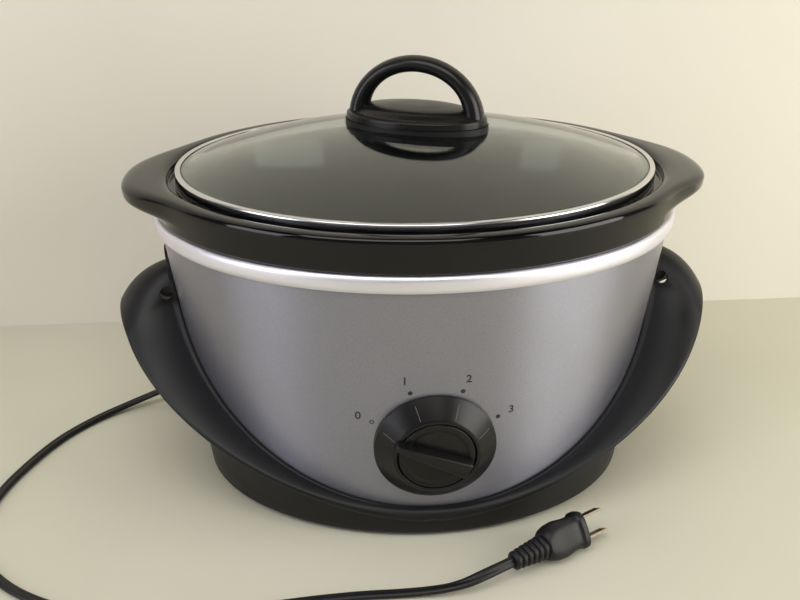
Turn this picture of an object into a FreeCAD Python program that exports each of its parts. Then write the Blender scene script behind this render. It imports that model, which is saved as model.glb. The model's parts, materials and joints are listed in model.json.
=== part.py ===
import FreeCAD, Part
import math
import os
from FreeCAD import Vector

# Oval slow cooker in millimetres: +Z is up, the front faces -Y, the origin is on the table under the middle.

# Housing wrap: room outside the crock's foot and outside the top of its wall
WRAP_BASE_ROOM_LENGTH = 19.2
WRAP_BASE_ROOM_WIDTH = 23.5
WRAP_TOP_ROOM_LENGTH = 14.0
WRAP_TOP_ROOM_WIDTH = 13.9
WRAP_SHEET = 0.6
HOUSING_TOP = 180.0

# Base moulding
FOOT_REACH = 3.0
FLOOR_RECESS = 5.0
FLOOR_SHEET = 3.0
WRAP_SEAT_HEIGHT = 2.0
WRAP_SEAT_WIDTH = 5.0
BASE_WALL = 2.8
BASE_GAP = 0.4
FOOT_RADIUS = 9.0
FOOT_STEM_RADIUS = 2.6
FOOT_PITCH_X = 176.0
FOOT_PITCH_Y = 124.0
POST_RADIUS = 5.0
POST_PITCH_X = 150.0
POST_PITCH_Y = 104.0

# Wing handles of the base: the smile where they leave the wrap, and the lip where they end
WING_TOP = 142.0
SMILE_SIDE_SHARE = 0.9904
SMILE_DROP = 120.0
WING_REACH = 31.8
LIP_STAND = 3.8
LIP_FRONT_INSET = 4.0
LIP_TOP = 116.0
LIP_DROP = 98.0
LIP_FULLNESS = 1.29
WING_SHEET = 3.2
WING_BULGE_SHARE = 0.1
WING_ROOT_SHARE = 0.25
WING_TURN = math.radians(80.0)
TAB_RISE = 11.0
TAB_MARGIN = 1.5
WING_STATIONS = 14
WING_TOP_STATIONS = 3

# Handle brackets and screws
BRACKET_HALF_WIDTH = 9.0
BRACKET_REACH = 8.0
BRACKET_HEIGHT = 10.0
BRACKET_SHEET = 2.0
BRACKET_Z = 126.0
HANDLE_SCREW_RADIUS = 1.9
HANDLE_SCREW_HEAD_RADIUS = 3.4
HANDLE_SCREW_HEAD = 2.2

# Heating well and what heats it
LINER_SHEET = 1.0
LINER_GAP = 2.0
RIM_OVERHANG = 1.9
RIM_HEIGHT = 10.5
RIM_ROUND = 5.0
SHIELD_POST = 8.0
SHIELD_SHEET = 1.0
SHIELD_MARGIN = 24.0
SPACER_LENGTH = 10.0
SPACER_RADIUS = 6.0
STUD_RADIUS = 2.5
STUD_TIP_RISE = 1.0
NUT_ACROSS_FLATS = 8.0
NUT_HEIGHT = 3.4
WASHER_RADIUS = 7.0
WASHER_SHEET = 1.0
HEATER_LOW = 98.0
HEATER_HEIGHT = 46.0
HEATER_SHEET = 3.0
STRAP_HEIGHT = 10.0
STRAP_SHEET = 0.8
TERMINAL_WIDTH = 8.0
TERMINAL_DROP = 9.0
TERMINAL_SHEET = 1.5
FUSE_RADIUS = 2.6
FUSE_LENGTH = 26.0
FUSE_X = -30.0
FUSE_Y = 34.0
CLIP_WIDTH = 9.0
CLIP_SHEET = 0.8
SHIELD_HOLE_RADIUS = 6.0
SHIELD_HOLE_X = -62.0

# Crock
CROCK_BASE_HALF_LENGTH = 120.0
CROCK_BASE_HALF_WIDTH = 91.0
CROCK_TOP_HALF_LENGTH = 149.5
CROCK_TOP_HALF_WIDTH = 118.5
CROCK_WALL = 8.0
CROCK_FLOOR = 9.0
CROCK_FLOOR_GAP = 2.0
CROCK_RIM_REACH_LENGTH = 17.5
CROCK_RIM_REACH_WIDTH = 18.5
CROCK_RIM_FLARE = 3.0
CROCK_RIM_HEIGHT = 22.0
CROCK_FOOT_ROUND = 12.0
CROCK_INNER_ROUND = 18.0
RIM_EDGE_ROUND = 4.0
EAR_REACH = 17.5
EAR_HALF_WIDTH = 50.0
EAR_SHEET = 13.0
EAR_DROP = 2.0
EAR_ROUND = 5.0

# Lid
LID_INSET_LENGTH = 16.0
LID_INSET_WIDTH = 15.5
LID_CLEARANCE = 5.0
LID_SEAT_DEPTH = 7.0
BAND_HEIGHT = 9.6
BAND_WIDTH = 4.0
BAND_SHEET = 1.2
GLASS_SHEET = 4.0
GLASS_LIFT = 4.0
DOME_RISE = 25.5
SEAL_SHEET = 1.5
SEAL_MARGIN = 2.0
PLATE_HALF_LENGTH = 48.0
PLATE_HALF_WIDTH = 28.0
PLATE_SHEET = 5.0
PLATE_CROWN = 6.0
HANDLE_TURN = -22.0
HANDLE_HALF_SPAN = 39.0
HANDLE_RISE = 33.5
HANDLE_BAR = 10.0
HANDLE_BAR_WIDTH = 15.0
HANDLE_FOOT_SINK = 3.0
LID_SCREW_RADIUS = 2.5
LID_SCREW_GRIP = 5.0
LID_SCREW_HEAD_RADIUS = 5.0
LID_SCREW_HEAD = 2.5
LID_WASHER_RADIUS = 9.0
LID_WASHER_SHEET = 1.2

# Dial, knob and rotary switch, along the dial's own axis
DIAL_Z = 67.0
BEZEL_RADIUS = 36.0
BEZEL_FACE_RADIUS = 25.0
BEZEL_HEIGHT = 11.0
BEZEL_FLOOR = 2.5
BEZEL_SKIRT = 7.0
KNOB_RADIUS = 22.4
KNOB_CLEARANCE = 0.6
KNOB_LIFT = 0.5
GRIP_HEIGHT = 5.2
GRIP_POINT_REACH = 27.0
GRIP_TAIL_REACH = 21.0
GRIP_POINT_WIDTH = 5.0
GRIP_TAIL_WIDTH = 12.0
OFF_ANGLE = 156.0
SHAFT_RADIUS = 3.0
SHAFT_CLEARANCE = 0.06
SHAFT_GRIP = 3.4
BUSH_RADIUS = 5.0
BUSH_CLEARANCE = 0.3
SWITCH_NUT_ACROSS_FLATS = 14.0
SWITCH_NUT_HEIGHT = 2.6
SWITCH_RADIUS = 14.0
SWITCH_DEPTH = 13.0
SWITCH_WALL = 2.0
SWITCH_STEP = 1.6
ROTOR_RADIUS = 10.5
ROTOR_HEIGHT = 4.0
ROTOR_CLEARANCE = 0.5
BLADE_WIDTH = 4.8
BLADE_SHEET = 0.8
BLADE_DROP = 8.0
BLADE_PITCH = 8.0

# Cord, strain relief and plug
CORD_DIAMETER = 6.5
GLAND_PLAN_ANGLE = 156.0
GLAND_Z = 18.0
GLAND_NECK_RADIUS = 4.6
GLAND_COLLAR_RADIUS = 7.5
GLAND_COLLAR = 3.0
GLAND_TIP_RADIUS = 4.2
GLAND_SLEEVE = 20.0
GLAND_GAP = 0.3
CORD_ROUTE = [
    (-184.7, 68.3, 12.0),
    (-206.6, 61.2, 5.5),
    (-228.2, 45.0, 3.4),
    (-248.5, 19.0, 3.4),
    (-262.9, -11.8, 3.4),
    (-275.3, -47.7, 3.4),
    (-279.7, -89.5, 3.4),
    (-265.4, -126.8, 3.4),
    (-237.6, -155.6, 3.4),
    (-196.3, -175.8, 3.4),
    (-146.8, -182.8, 3.4),
    (-92.0, -174.2, 3.4),
    (-50.0, -170.5, 3.4),
    (-18.0, -171.0, 3.4),
    (7.7, -173.5, 7.5),
]
CORD_FIRST_RUN = 19.0
CORD_LAST_RUN = 16.0
BEND_SHARE = 0.45
PLUG_START = Vector(41.0, -160.0, 11.6)
PLUG_HEADING = 31.0
PLUG_ROLL = 60.0
PLUG_RELIEF_LENGTH = 24.0
PLUG_RELIEF_TIP_RADIUS = 4.6
PLUG_RELIEF_ROOT_RADIUS = 6.4
PLUG_RIBS = 5
PLUG_RIB_HEIGHT = 1.1
PLUG_BODY_LENGTH = 30.0
PLUG_HALF_WIDTH = 11.5
PLUG_HALF_THICKNESS = 8.0
PLUG_FACE = 5.0
PRONG_PITCH = 12.7
PRONG_WIDTH = 6.35
PRONG_SHEET = 1.5
PRONG_LENGTH = 17.0
PRONG_HOLE_RADIUS = 1.6
PRONG_HOLE_INSET = 3.8

# Leads inside the housing: where each one runs between its two ends
LEAD_DIAMETER = 3.0
LEAD_TAIL = 10.0
LIVE_LEAD = [(-100.0, -14.0, 14.0), (-76.0, -68.0, 14.0), (-24.0, -102.0, 15.0), (-9.0, -108.0, 26.0)]
NEUTRAL_LEAD = [(-92.0, 35.0, 14.0), (-68.0, 34.0, 14.0)]
LOW_LEAD = [(16.0, -106.0, 27.0), (42.0, -100.0, 34.0), (58.0, -97.5, 58.0)]
HIGH_LEAD = [(22.0, -107.5, 31.0), (32.0, -106.5, 46.0)]
RETURN_LEAD = [(30.0, 66.0, 26.0), (54.0, 94.0, 32.0), (62.0, 97.0, 56.0)]
LOW_TERMINAL_X = 64.0
HIGH_TERMINAL_X = 33.0
RETURN_TERMINAL_X = 64.0

# Levels from the table upwards
wall_bottom = FOOT_REACH
floor_bottom = wall_bottom + FLOOR_RECESS
floor_top = floor_bottom + FLOOR_SHEET
wrap_bottom = floor_top + WRAP_SEAT_HEIGHT
shield_bottom = floor_top + SHIELD_POST
shield_top = shield_bottom + SHIELD_SHEET
liner_bottom = shield_top + SPACER_LENGTH
liner_floor = liner_bottom + LINER_SHEET
crock_bottom = liner_floor + CROCK_FLOOR_GAP
crock_top = HOUSING_TOP + CROCK_RIM_HEIGHT
lid_seat = crock_top - LID_SEAT_DEPTH
glass_edge = lid_seat + GLASS_LIFT
dome_base = glass_edge + GLASS_SHEET
dome_top = dome_base + DOME_RISE
plate_bottom = dome_top + SEAL_SHEET
plate_top = plate_bottom + PLATE_SHEET

# Ovals in plan: half-length and half-width
wrap_base = (CROCK_BASE_HALF_LENGTH + WRAP_BASE_ROOM_LENGTH, CROCK_BASE_HALF_WIDTH + WRAP_BASE_ROOM_WIDTH)
wrap_top = (CROCK_TOP_HALF_LENGTH + WRAP_TOP_ROOM_LENGTH, CROCK_TOP_HALF_WIDTH + WRAP_TOP_ROOM_WIDTH)
crock_rim = (CROCK_TOP_HALF_LENGTH + CROCK_RIM_REACH_LENGTH, CROCK_TOP_HALF_WIDTH + CROCK_RIM_REACH_WIDTH)
lid_half = (crock_rim[0] - LID_INSET_LENGTH, crock_rim[1] - LID_INSET_WIDTH)
lid_seat_half = (lid_half[0] + LID_CLEARANCE, lid_half[1] + LID_CLEARANCE)

# Offsets that several pieces share
base_offset = BASE_GAP + BASE_WALL
liner_offset = LINER_GAP + LINER_SHEET
bush_hole = BUSH_RADIUS + BUSH_CLEARANCE
glass_half_length = lid_half[0] - BAND_SHEET
glass_half_width = lid_half[1] - BAND_SHEET
wrap_lean = math.atan((wrap_top[1] - wrap_base[1]) / (HOUSING_TOP - wrap_bottom))
up = Vector(0, 0, 1)
origin = Vector(0, 0, 0)


def between(low, high, share):
    return low + (high - low) * share


def wrap_half(z, offset):
    """Half-length and half-width of the wrap's outer face at height z, moved out by offset."""
    share = (z - wrap_bottom) / (HOUSING_TOP - wrap_bottom)
    return (between(wrap_base[0], wrap_top[0], share) + offset,
            between(wrap_base[1], wrap_top[1], share) + offset)


def crock_half(z, offset):
    """Half-length and half-width of the crock's outer wall at height z, moved out by offset."""
    share = (z - crock_bottom) / (HOUSING_TOP - crock_bottom)
    return (between(CROCK_BASE_HALF_LENGTH, CROCK_TOP_HALF_LENGTH, share) + offset,
            between(CROCK_BASE_HALF_WIDTH, CROCK_TOP_HALF_WIDTH, share) + offset)


def oval(half_length, half_width, z):
    """Closed oval wire lying level at height z."""
    return Part.Wire(Part.Ellipse(Vector(0, 0, z), half_length, half_width).toShape())


def oval_solid(low_half, low_z, high_half, high_z):
    """Solid with straight sides between two level ovals."""
    return Part.makeLoft([oval(*low_half, low_z), oval(*high_half, high_z)], True, True)


def wrap_block(low_z, high_z, offset):
    return oval_solid(wrap_half(low_z, offset), low_z, wrap_half(high_z, offset), high_z)


def crock_block(low_z, high_z, offset):
    return oval_solid(crock_half(low_z, offset), low_z, crock_half(high_z, offset), high_z)


def dome(half_length, half_width, base_z, rise):
    """Oval cap with a flat underside at base_z."""
    radius = (half_length ** 2 + rise ** 2) / (2 * rise)
    half_turn = math.asin(half_length / radius) / 2
    middle = Vector(radius * math.sin(half_turn), 0, base_z + rise - radius * (1 - math.cos(half_turn)))
    crown = Vector(0, 0, base_z + rise)
    edge = Vector(half_length, 0, base_z)
    foot = Vector(0, 0, base_z)
    outline = Part.Wire([Part.Arc(crown, middle, edge).toShape(), Part.makeLine(edge, foot),
                         Part.makeLine(foot, crown)])
    squeeze = FreeCAD.Matrix()
    squeeze.scale(1, half_width / half_length, 1)
    return Part.Face(outline).revolve(origin, up, 360).transformGeometry(squeeze)


def rounded(solid, radius, wanted):
    """Round the edges of a solid for which wanted(edge) is true."""
    return solid.makeFillet(radius, [edge for edge in solid.Edges if wanted(edge)])


def level_edge(z):
    """Test for closed edges that lie level at height z."""
    return lambda edge: edge.BoundBox.ZLength < 0.01 and abs(edge.BoundBox.ZMin - z) < 0.01


def upright(radius, low_z, high_z, x=0.0, y=0.0):
    return Part.makeCylinder(radius, high_z - low_z, Vector(x, y, low_z))


def hexagon(across_flats, low_z, high_z):
    """Hexagonal block about the Z axis."""
    radius = across_flats / math.sqrt(3)
    corners = [Vector(radius * math.cos(k * math.pi / 3), radius * math.sin(k * math.pi / 3), low_z)
               for k in range(7)]
    return Part.Face(Part.makePolygon(corners)).extrude(Vector(0, 0, high_z - low_z))


def four_corners(pitch_x, pitch_y):
    return [(sx * pitch_x / 2, sy * pitch_y / 2) for sx in (-1, 1) for sy in (-1, 1)]


def both_sides(solid):
    """A solid on the right-hand side and its mirror image on the left."""
    return Part.makeCompound([solid, solid.mirror(origin, Vector(1, 0, 0))])


def tube(points, diameter):
    """Round tube on straight runs joined by arcs as large as the runs allow; returns it, its length and radii."""
    edges = []
    radii = []
    start = points[0]
    for before, corner, after in zip(points, points[1:], points[2:]):
        back = (before - corner).normalize()
        ahead = (after - corner).normalize()
        setback = BEND_SHARE * min((before - corner).Length, (after - corner).Length)
        half_turn = (math.pi - back.getAngle(ahead)) / 2
        radius = setback / math.tan(half_turn)
        inward = (back + ahead).normalize()
        middle = corner + inward * (radius / math.cos(half_turn) - radius)
        edges.append(Part.LineSegment(start, corner + back * setback).toShape())
        edges.append(Part.Arc(corner + back * setback, middle, corner + ahead * setback).toShape())
        start = corner + ahead * setback
        radii.append(radius)
    edges.append(Part.LineSegment(start, points[-1]).toShape())
    path = Part.Wire(edges)
    profile = Part.Wire(Part.Circle(points[0], points[1] - points[0], diameter / 2).toShape())
    return path.makePipeShell([profile], True, False), path.Length, radii


def dial_placement():
    """Where the dial's axis stands out of the wrap, with its zero at the wrap's face."""
    centre = Vector(0, -wrap_half(DIAL_Z, 0)[1], DIAL_Z)
    return FreeCAD.Placement(centre, FreeCAD.Rotation(Vector(1, 0, 0), 90 + math.degrees(wrap_lean)))


def on_dial(solid):
    """Move a piece made along +Z onto the dial's axis."""
    solid.Placement = dial_placement()
    return solid


def gland_place():
    """Point on the base wall where the cord leaves, and the direction it leaves in."""
    half_length, half_width = wrap_half(GLAND_Z, base_offset)
    angle = math.radians(GLAND_PLAN_ANGLE)
    point = Vector(half_length * math.cos(angle), half_width * math.sin(angle), GLAND_Z)
    outward = Vector(math.cos(angle) / half_length, math.sin(angle) / half_width, 0)
    return point, outward.normalize()


def smile_half_length():
    """Half-length of the smile's oval, which stays on the base wall up to the wing's turn."""
    turn_z = WING_TOP - SMILE_DROP * math.cos(WING_TURN)
    return SMILE_SIDE_SHARE * wrap_half(turn_z, base_offset)[0] / math.sin(WING_TURN)


def lip_half():
    """Half-length and half-width in plan of the oval that the wing's free edge follows."""
    return (wrap_half(WING_TOP, base_offset)[0] + WING_REACH,
            wrap_half(LIP_TOP - LIP_DROP, base_offset)[1] + LIP_STAND)


def smile_point(angle):
    """Point on the base wall's outer face where a wing leaves it: angle 0 is the front, pi / 2 the side."""
    x = smile_half_length() * math.sin(angle)
    z = WING_TOP - SMILE_DROP * math.cos(angle)
    half_length, half_width = wrap_half(z, base_offset)
    return Vector(x, -half_width * math.sqrt(1 - (x / half_length) ** 2), z)


def lip_point(angle):
    """Point on the wing's free edge that faces smile_point(angle)."""
    half_length, half_width = lip_half()
    x = (half_length - LIP_FRONT_INSET) * math.sin(angle) ** LIP_FULLNESS
    z = LIP_TOP - LIP_DROP * math.cos(angle) ** LIP_FULLNESS
    return Vector(x, -half_width * math.sqrt(1 - (x / half_length) ** 2), z)


def on_oval(half_length, half_width, y, z):
    """Point on the right-hand side of an oval, from how far back it is."""
    return Vector(half_length * math.sqrt(1 - (y / half_width) ** 2), y, z)


def top_points(share):
    """Root and lip of the wing where it rounds over the side: share 1 is the middle of the handle."""
    angle = share * math.pi / 2
    turn = smile_point(WING_TURN)
    root_z = between(turn.z, WING_TOP, math.sin(angle))
    root = on_oval(*wrap_half(root_z, base_offset), turn.y * math.cos(angle), root_z)
    lip_turn = lip_point(WING_TURN)
    lip_z = between(LIP_TOP, lip_turn.z, (1 - share) ** 2)
    return root, on_oval(*lip_half(), lip_turn.y * (1 - share), lip_z)


def wing_section(root, lip):
    """Upright section of a wing between its root on the wall and its lip, bulging upwards."""
    outward = Vector(lip.x - root.x, lip.y - root.y, 0).normalize()
    root = root - outward * (WING_ROOT_SHARE * BASE_WALL)
    chord = lip - root
    normal = (up - chord * (up.dot(chord) / chord.dot(chord))).normalize()
    crest = (root + lip) * 0.5 + normal * (WING_BULGE_SHARE * chord.Length)
    sink = normal * WING_SHEET
    return Part.Wire([Part.Arc(root, crest, lip).toShape(), Part.makeLine(lip, lip - sink),
                      Part.Arc(lip - sink, crest - sink, root - sink).toShape(),
                      Part.makeLine(root - sink, root)])


def wing_half():
    """The right-hand half of the wing, from the front round the side to the back."""
    rising = [WING_TURN * k / WING_STATIONS for k in range(WING_STATIONS + 1)]
    pairs = [(smile_point(angle), lip_point(angle)) for angle in rising]
    pairs += [top_points((k + 1) / WING_TOP_STATIONS) for k in range(WING_TOP_STATIONS)]
    pairs += [tuple(Vector(point.x, -point.y, point.z) for point in pair) for pair in pairs[-2::-1]]
    return Part.makeLoft([wing_section(*pair) for pair in pairs], True, False)


def wings():
    right = wing_half()
    return [right, right.mirror(origin, Vector(1, 0, 0))]


def bracket_block(gap):
    """Room that a handle bracket takes on the right-hand side, grown by gap."""
    reach = wrap_half(BRACKET_Z, BRACKET_REACH)[0]
    start = wrap_half(BRACKET_Z, -BRACKET_REACH)[0]
    return Part.makeBox(reach - start + gap, 2 * (BRACKET_HALF_WIDTH + gap), BRACKET_HEIGHT + 2 * gap,
                        Vector(start, -BRACKET_HALF_WIDTH - gap, BRACKET_Z - BRACKET_HEIGHT / 2 - gap))


def bracket_screw_line():
    """X of the handle screws, midway along the brackets' reach outside the base wall."""
    return wrap_half(BRACKET_Z, (base_offset + BRACKET_REACH) / 2)[0]


def make_handle_brackets():
    """Steel channels on the sides of the wrap, tapped for the handle screws."""
    block = bracket_block(0)
    hollow = Part.makeBox(4 * BRACKET_REACH, 2 * (BRACKET_HALF_WIDTH - BRACKET_SHEET), 2 * BRACKET_HEIGHT,
                          Vector(wrap_half(BRACKET_Z, BRACKET_SHEET)[0], -BRACKET_HALF_WIDTH + BRACKET_SHEET,
                                 BRACKET_Z - BRACKET_HEIGHT))
    tap = Part.makeCylinder(HANDLE_SCREW_RADIUS, 4 * BRACKET_HALF_WIDTH,
                            Vector(bracket_screw_line(), -2 * BRACKET_HALF_WIDTH, BRACKET_Z), Vector(0, 1, 0))
    return both_sides(block.cut(hollow).cut(tap).cut(wrap_block(wrap_bottom, HOUSING_TOP, 0)))


def screw_seat():
    """Y of the face that a handle screw's head pulls against, on the front of the wing."""
    return -BRACKET_HALF_WIDTH - WING_SHEET


def make_handle_screws():
    """Two screws for each wing, front and back, driven into the bracket."""
    line = bracket_screw_line()
    seat = Vector(line, screw_seat(), BRACKET_Z)
    head = Part.makeCylinder(HANDLE_SCREW_HEAD_RADIUS, HANDLE_SCREW_HEAD, seat, Vector(0, -1, 0))
    shank = Part.makeCylinder(HANDLE_SCREW_RADIUS, WING_SHEET + 2 * BRACKET_SHEET, seat, Vector(0, 1, 0))
    front = head.fuse(shank)
    return both_sides(Part.makeCompound([front, front.mirror(origin, Vector(0, 1, 0))]))


def base_wall():
    """Wall of the base up to the smile, with a round-topped tab at each side."""
    wall = wrap_block(wall_bottom, WING_TOP + 2 * TAB_RISE, base_offset)
    half_length, half_width = lip_half()
    depth = Vector(0, -2 * half_width, 0)
    smile = Part.Ellipse(Vector(smile_half_length(), 0, WING_TOP) + depth,
                         Vector(0, 0, WING_TOP - SMILE_DROP) + depth, Vector(0, 0, WING_TOP) + depth)
    wall = wall.cut(Part.Face(Part.Wire(smile.toShape())).extrude(depth * -2))
    turn = smile_point(WING_TURN)
    reach = Vector(-2 * half_length, 0, 0)
    tab = Part.Ellipse(Vector(0, 0, WING_TOP + TAB_RISE) + reach, Vector(0, turn.y - TAB_MARGIN, turn.z) + reach,
                       Vector(0, 0, turn.z) + reach)
    tab = Part.Face(Part.Wire(tab.toShape())).extrude(reach * -2)
    above = Part.makeBox(4 * half_length, 4 * half_width, SMILE_DROP, Vector(-2 * half_length, -2 * half_width, turn.z))
    return wall.cut(above.cut(tab))


def make_base_shell():
    """Black base: floor, wall that cups the wrap and the wing round it that makes both handles."""
    shell = base_wall().multiFuse(wings())
    shell = shell.cut(wrap_block(floor_top, WING_TOP + SMILE_DROP, BASE_GAP))
    shell = shell.cut(wrap_block(0, floor_bottom, BASE_GAP))
    seat = wrap_block(floor_top, wrap_bottom, BASE_GAP)
    seat = seat.cut(wrap_block(floor_top, wrap_bottom, -WRAP_SEAT_WIDTH))
    posts = [upright(POST_RADIUS, floor_top, shield_bottom, x, y) for x, y in four_corners(POST_PITCH_X, POST_PITCH_Y)]
    lugs = [Part.makeBox(BRACKET_REACH, WING_SHEET, BRACKET_HEIGHT,
                         Vector(wrap_half(BRACKET_Z, base_offset)[0], screw_seat(), BRACKET_Z - BRACKET_HEIGHT / 2))]
    lugs += [lug.mirror(origin, Vector(0, 1, 0)) for lug in lugs]
    lugs += [lug.mirror(origin, Vector(1, 0, 0)) for lug in lugs]
    shell = shell.multiFuse([seat] + posts + lugs)
    for x, y in four_corners(FOOT_PITCH_X, FOOT_PITCH_Y):
        shell = shell.cut(upright(FOOT_STEM_RADIUS, 0, floor_top, x, y))
    shell = shell.cut(upright(STUD_RADIUS + BASE_GAP, 0, floor_top))
    window = bracket_block(BASE_GAP)
    shell = shell.cut(window).cut(window.mirror(origin, Vector(1, 0, 0)))
    for side in (-1, 1):
        for face in (-1, 1):
            seat_point = Vector(side * bracket_screw_line(), -face * screw_seat(), BRACKET_Z)
            outward = Vector(0, face, 0)
            shell = shell.cut(Part.makeCylinder(HANDLE_SCREW_RADIUS + BASE_GAP, WING_SHEET, seat_point, outward * -1))
            shell = shell.cut(Part.makeCylinder(HANDLE_SCREW_HEAD_RADIUS + BASE_GAP, lip_half()[1] / 2,
                                                seat_point, outward))
    return shell.cut(gland_hole())


def make_feet():
    feet = []
    for x, y in four_corners(FOOT_PITCH_X, FOOT_PITCH_Y):
        pad = Part.makeCone(FOOT_RADIUS - FOOT_REACH / 2, FOOT_RADIUS, floor_bottom, Vector(x, y, 0))
        feet.append(pad.fuse(upright(FOOT_STEM_RADIUS, floor_bottom, floor_top, x, y)))
    return Part.makeCompound(feet)


def make_outer_wrap():
    """Tapered oval sheet round the housing, open at the top and bottom."""
    top = HOUSING_TOP - RIM_HEIGHT + RIM_ROUND / 2
    sheet = wrap_block(wrap_bottom, top, 0).cut(wrap_block(0, HOUSING_TOP, -WRAP_SHEET))
    bush = on_dial(Part.makeCylinder(bush_hole, BEZEL_RADIUS, Vector(0, 0, -BEZEL_RADIUS / 2)))
    return sheet.cut(bush).cut(gland_hole())


def make_heating_well():
    """Deep-drawn well that the crock hangs in, with its rolled rim over the wrap."""
    rim_low = HOUSING_TOP - RIM_HEIGHT
    rim_half = wrap_half(HOUSING_TOP, RIM_OVERHANG)
    rim = rounded(oval_solid(rim_half, rim_low, rim_half, HOUSING_TOP), RIM_ROUND, level_edge(HOUSING_TOP))
    rim_hollow_half = wrap_half(HOUSING_TOP, RIM_OVERHANG - LINER_SHEET)
    rim_hollow_top = HOUSING_TOP - LINER_SHEET
    rim_hollow = rounded(oval_solid(rim_hollow_half, 0, rim_hollow_half, rim_hollow_top),
                         RIM_ROUND - LINER_SHEET, level_edge(rim_hollow_top))
    well = rounded(crock_block(liner_bottom, HOUSING_TOP, liner_offset), CROCK_FOOT_ROUND, level_edge(liner_bottom))
    room = rounded(crock_block(liner_floor, HOUSING_TOP, LINER_GAP), CROCK_FOOT_ROUND - LINER_SHEET,
                   level_edge(liner_floor))
    return rim.cut(rim_hollow).fuse(well).cut(room).removeSplitter()


def liner_ring(low_z, high_z, inner, outer):
    """Ring round the well between two offsets from its outer face."""
    return crock_block(low_z, high_z, liner_offset + outer).cut(crock_block(low_z, high_z, liner_offset + inner))


def make_heater_band():
    return liner_ring(HEATER_LOW, HEATER_LOW + HEATER_HEIGHT, 0, HEATER_SHEET)


def make_heater_strap():
    """Clamp strap that draws the heater band against the well."""
    middle = HEATER_LOW + HEATER_HEIGHT / 2
    return liner_ring(middle - STRAP_HEIGHT / 2, middle + STRAP_HEIGHT / 2, HEATER_SHEET, HEATER_SHEET + STRAP_SHEET)


def terminal_foot(x, side):
    """Middle of the lower end of a heater terminal at x, on the front (side -1) or back (side 1) of the well."""
    z = HEATER_LOW - TERMINAL_DROP
    half_length, half_width = crock_half(z, liner_offset + HEATER_SHEET - TERMINAL_SHEET / 2)
    return Vector(x, side * half_width * math.sqrt(1 - (x / half_length) ** 2), z)


def make_heater_terminals():
    """Tabs under the heater band, one for each lead that ends there."""
    ring = liner_ring(HEATER_LOW - TERMINAL_DROP, HEATER_LOW, HEATER_SHEET - TERMINAL_SHEET, HEATER_SHEET)
    tabs = []
    for x, side in ((LOW_TERMINAL_X, -1), (HIGH_TERMINAL_X, -1), (RETURN_TERMINAL_X, 1)):
        foot = terminal_foot(x, side)
        slot = Part.makeBox(TERMINAL_WIDTH, 4 * TERMINAL_WIDTH, TERMINAL_DROP,
                            foot - Vector(TERMINAL_WIDTH / 2, 2 * TERMINAL_WIDTH, 0))
        tabs.append(ring.common(slot))
    return Part.makeCompound(tabs)


def make_heat_shield():
    half = wrap_half(shield_bottom, -SHIELD_MARGIN)
    sheet = oval_solid(half, shield_bottom, half, shield_top)
    pass_hole = upright(SHIELD_HOLE_RADIUS, shield_bottom, shield_top, SHIELD_HOLE_X, FUSE_Y)
    return sheet.cut(upright(STUD_RADIUS + BASE_GAP, shield_bottom, shield_top)).cut(pass_hole)


def make_spacer():
    return upright(SPACER_RADIUS, shield_top, liner_bottom).cut(upright(STUD_RADIUS + BASE_GAP, shield_top, liner_bottom))


def make_centre_stud():
    return upright(STUD_RADIUS, STUD_TIP_RISE, liner_bottom)


def make_centre_washer():
    low = floor_bottom - WASHER_SHEET
    return upright(WASHER_RADIUS, low, floor_bottom).cut(upright(STUD_RADIUS, low, floor_bottom))


def make_centre_nut():
    high = floor_bottom - WASHER_SHEET
    return hexagon(NUT_ACROSS_FLATS, high - NUT_HEIGHT, high).cut(upright(STUD_RADIUS, high - NUT_HEIGHT, high))


def fuse_axis_z():
    return liner_bottom - FUSE_RADIUS


def make_thermal_fuse():
    return Part.makeCylinder(FUSE_RADIUS, FUSE_LENGTH, Vector(FUSE_X - FUSE_LENGTH / 2, FUSE_Y, fuse_axis_z()),
                             Vector(1, 0, 0))


def make_fuse_clip():
    """Steel saddle that holds the fuse against the underside of the well."""
    outer = FUSE_RADIUS + CLIP_SHEET
    drop = FUSE_RADIUS + outer
    block = Part.makeBox(CLIP_WIDTH, 2 * outer, drop,
                         Vector(FUSE_X - CLIP_WIDTH / 2, FUSE_Y - outer, liner_bottom - drop))
    room = Part.makeBox(CLIP_WIDTH, 2 * FUSE_RADIUS, 2 * FUSE_RADIUS,
                        Vector(FUSE_X - CLIP_WIDTH / 2, FUSE_Y - FUSE_RADIUS, liner_bottom - 2 * FUSE_RADIUS))
    return block.cut(room)


def rim_outline(z):
    """Closed outline of the crock's rim with its two ears."""
    count = 96
    points = []
    for k in range(count):
        angle = 2 * math.pi * k / count
        y = crock_rim[1] * math.sin(angle)
        ear = EAR_REACH * math.exp(-(y / EAR_HALF_WIDTH) ** 4)
        x = crock_rim[0] * math.cos(angle) + math.copysign(ear, math.cos(angle))
        points.append(Vector(x, y, z))
    curve = Part.BSplineCurve()
    curve.interpolate(points, PeriodicFlag=True)
    return Part.Wire(curve.toShape())


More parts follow.
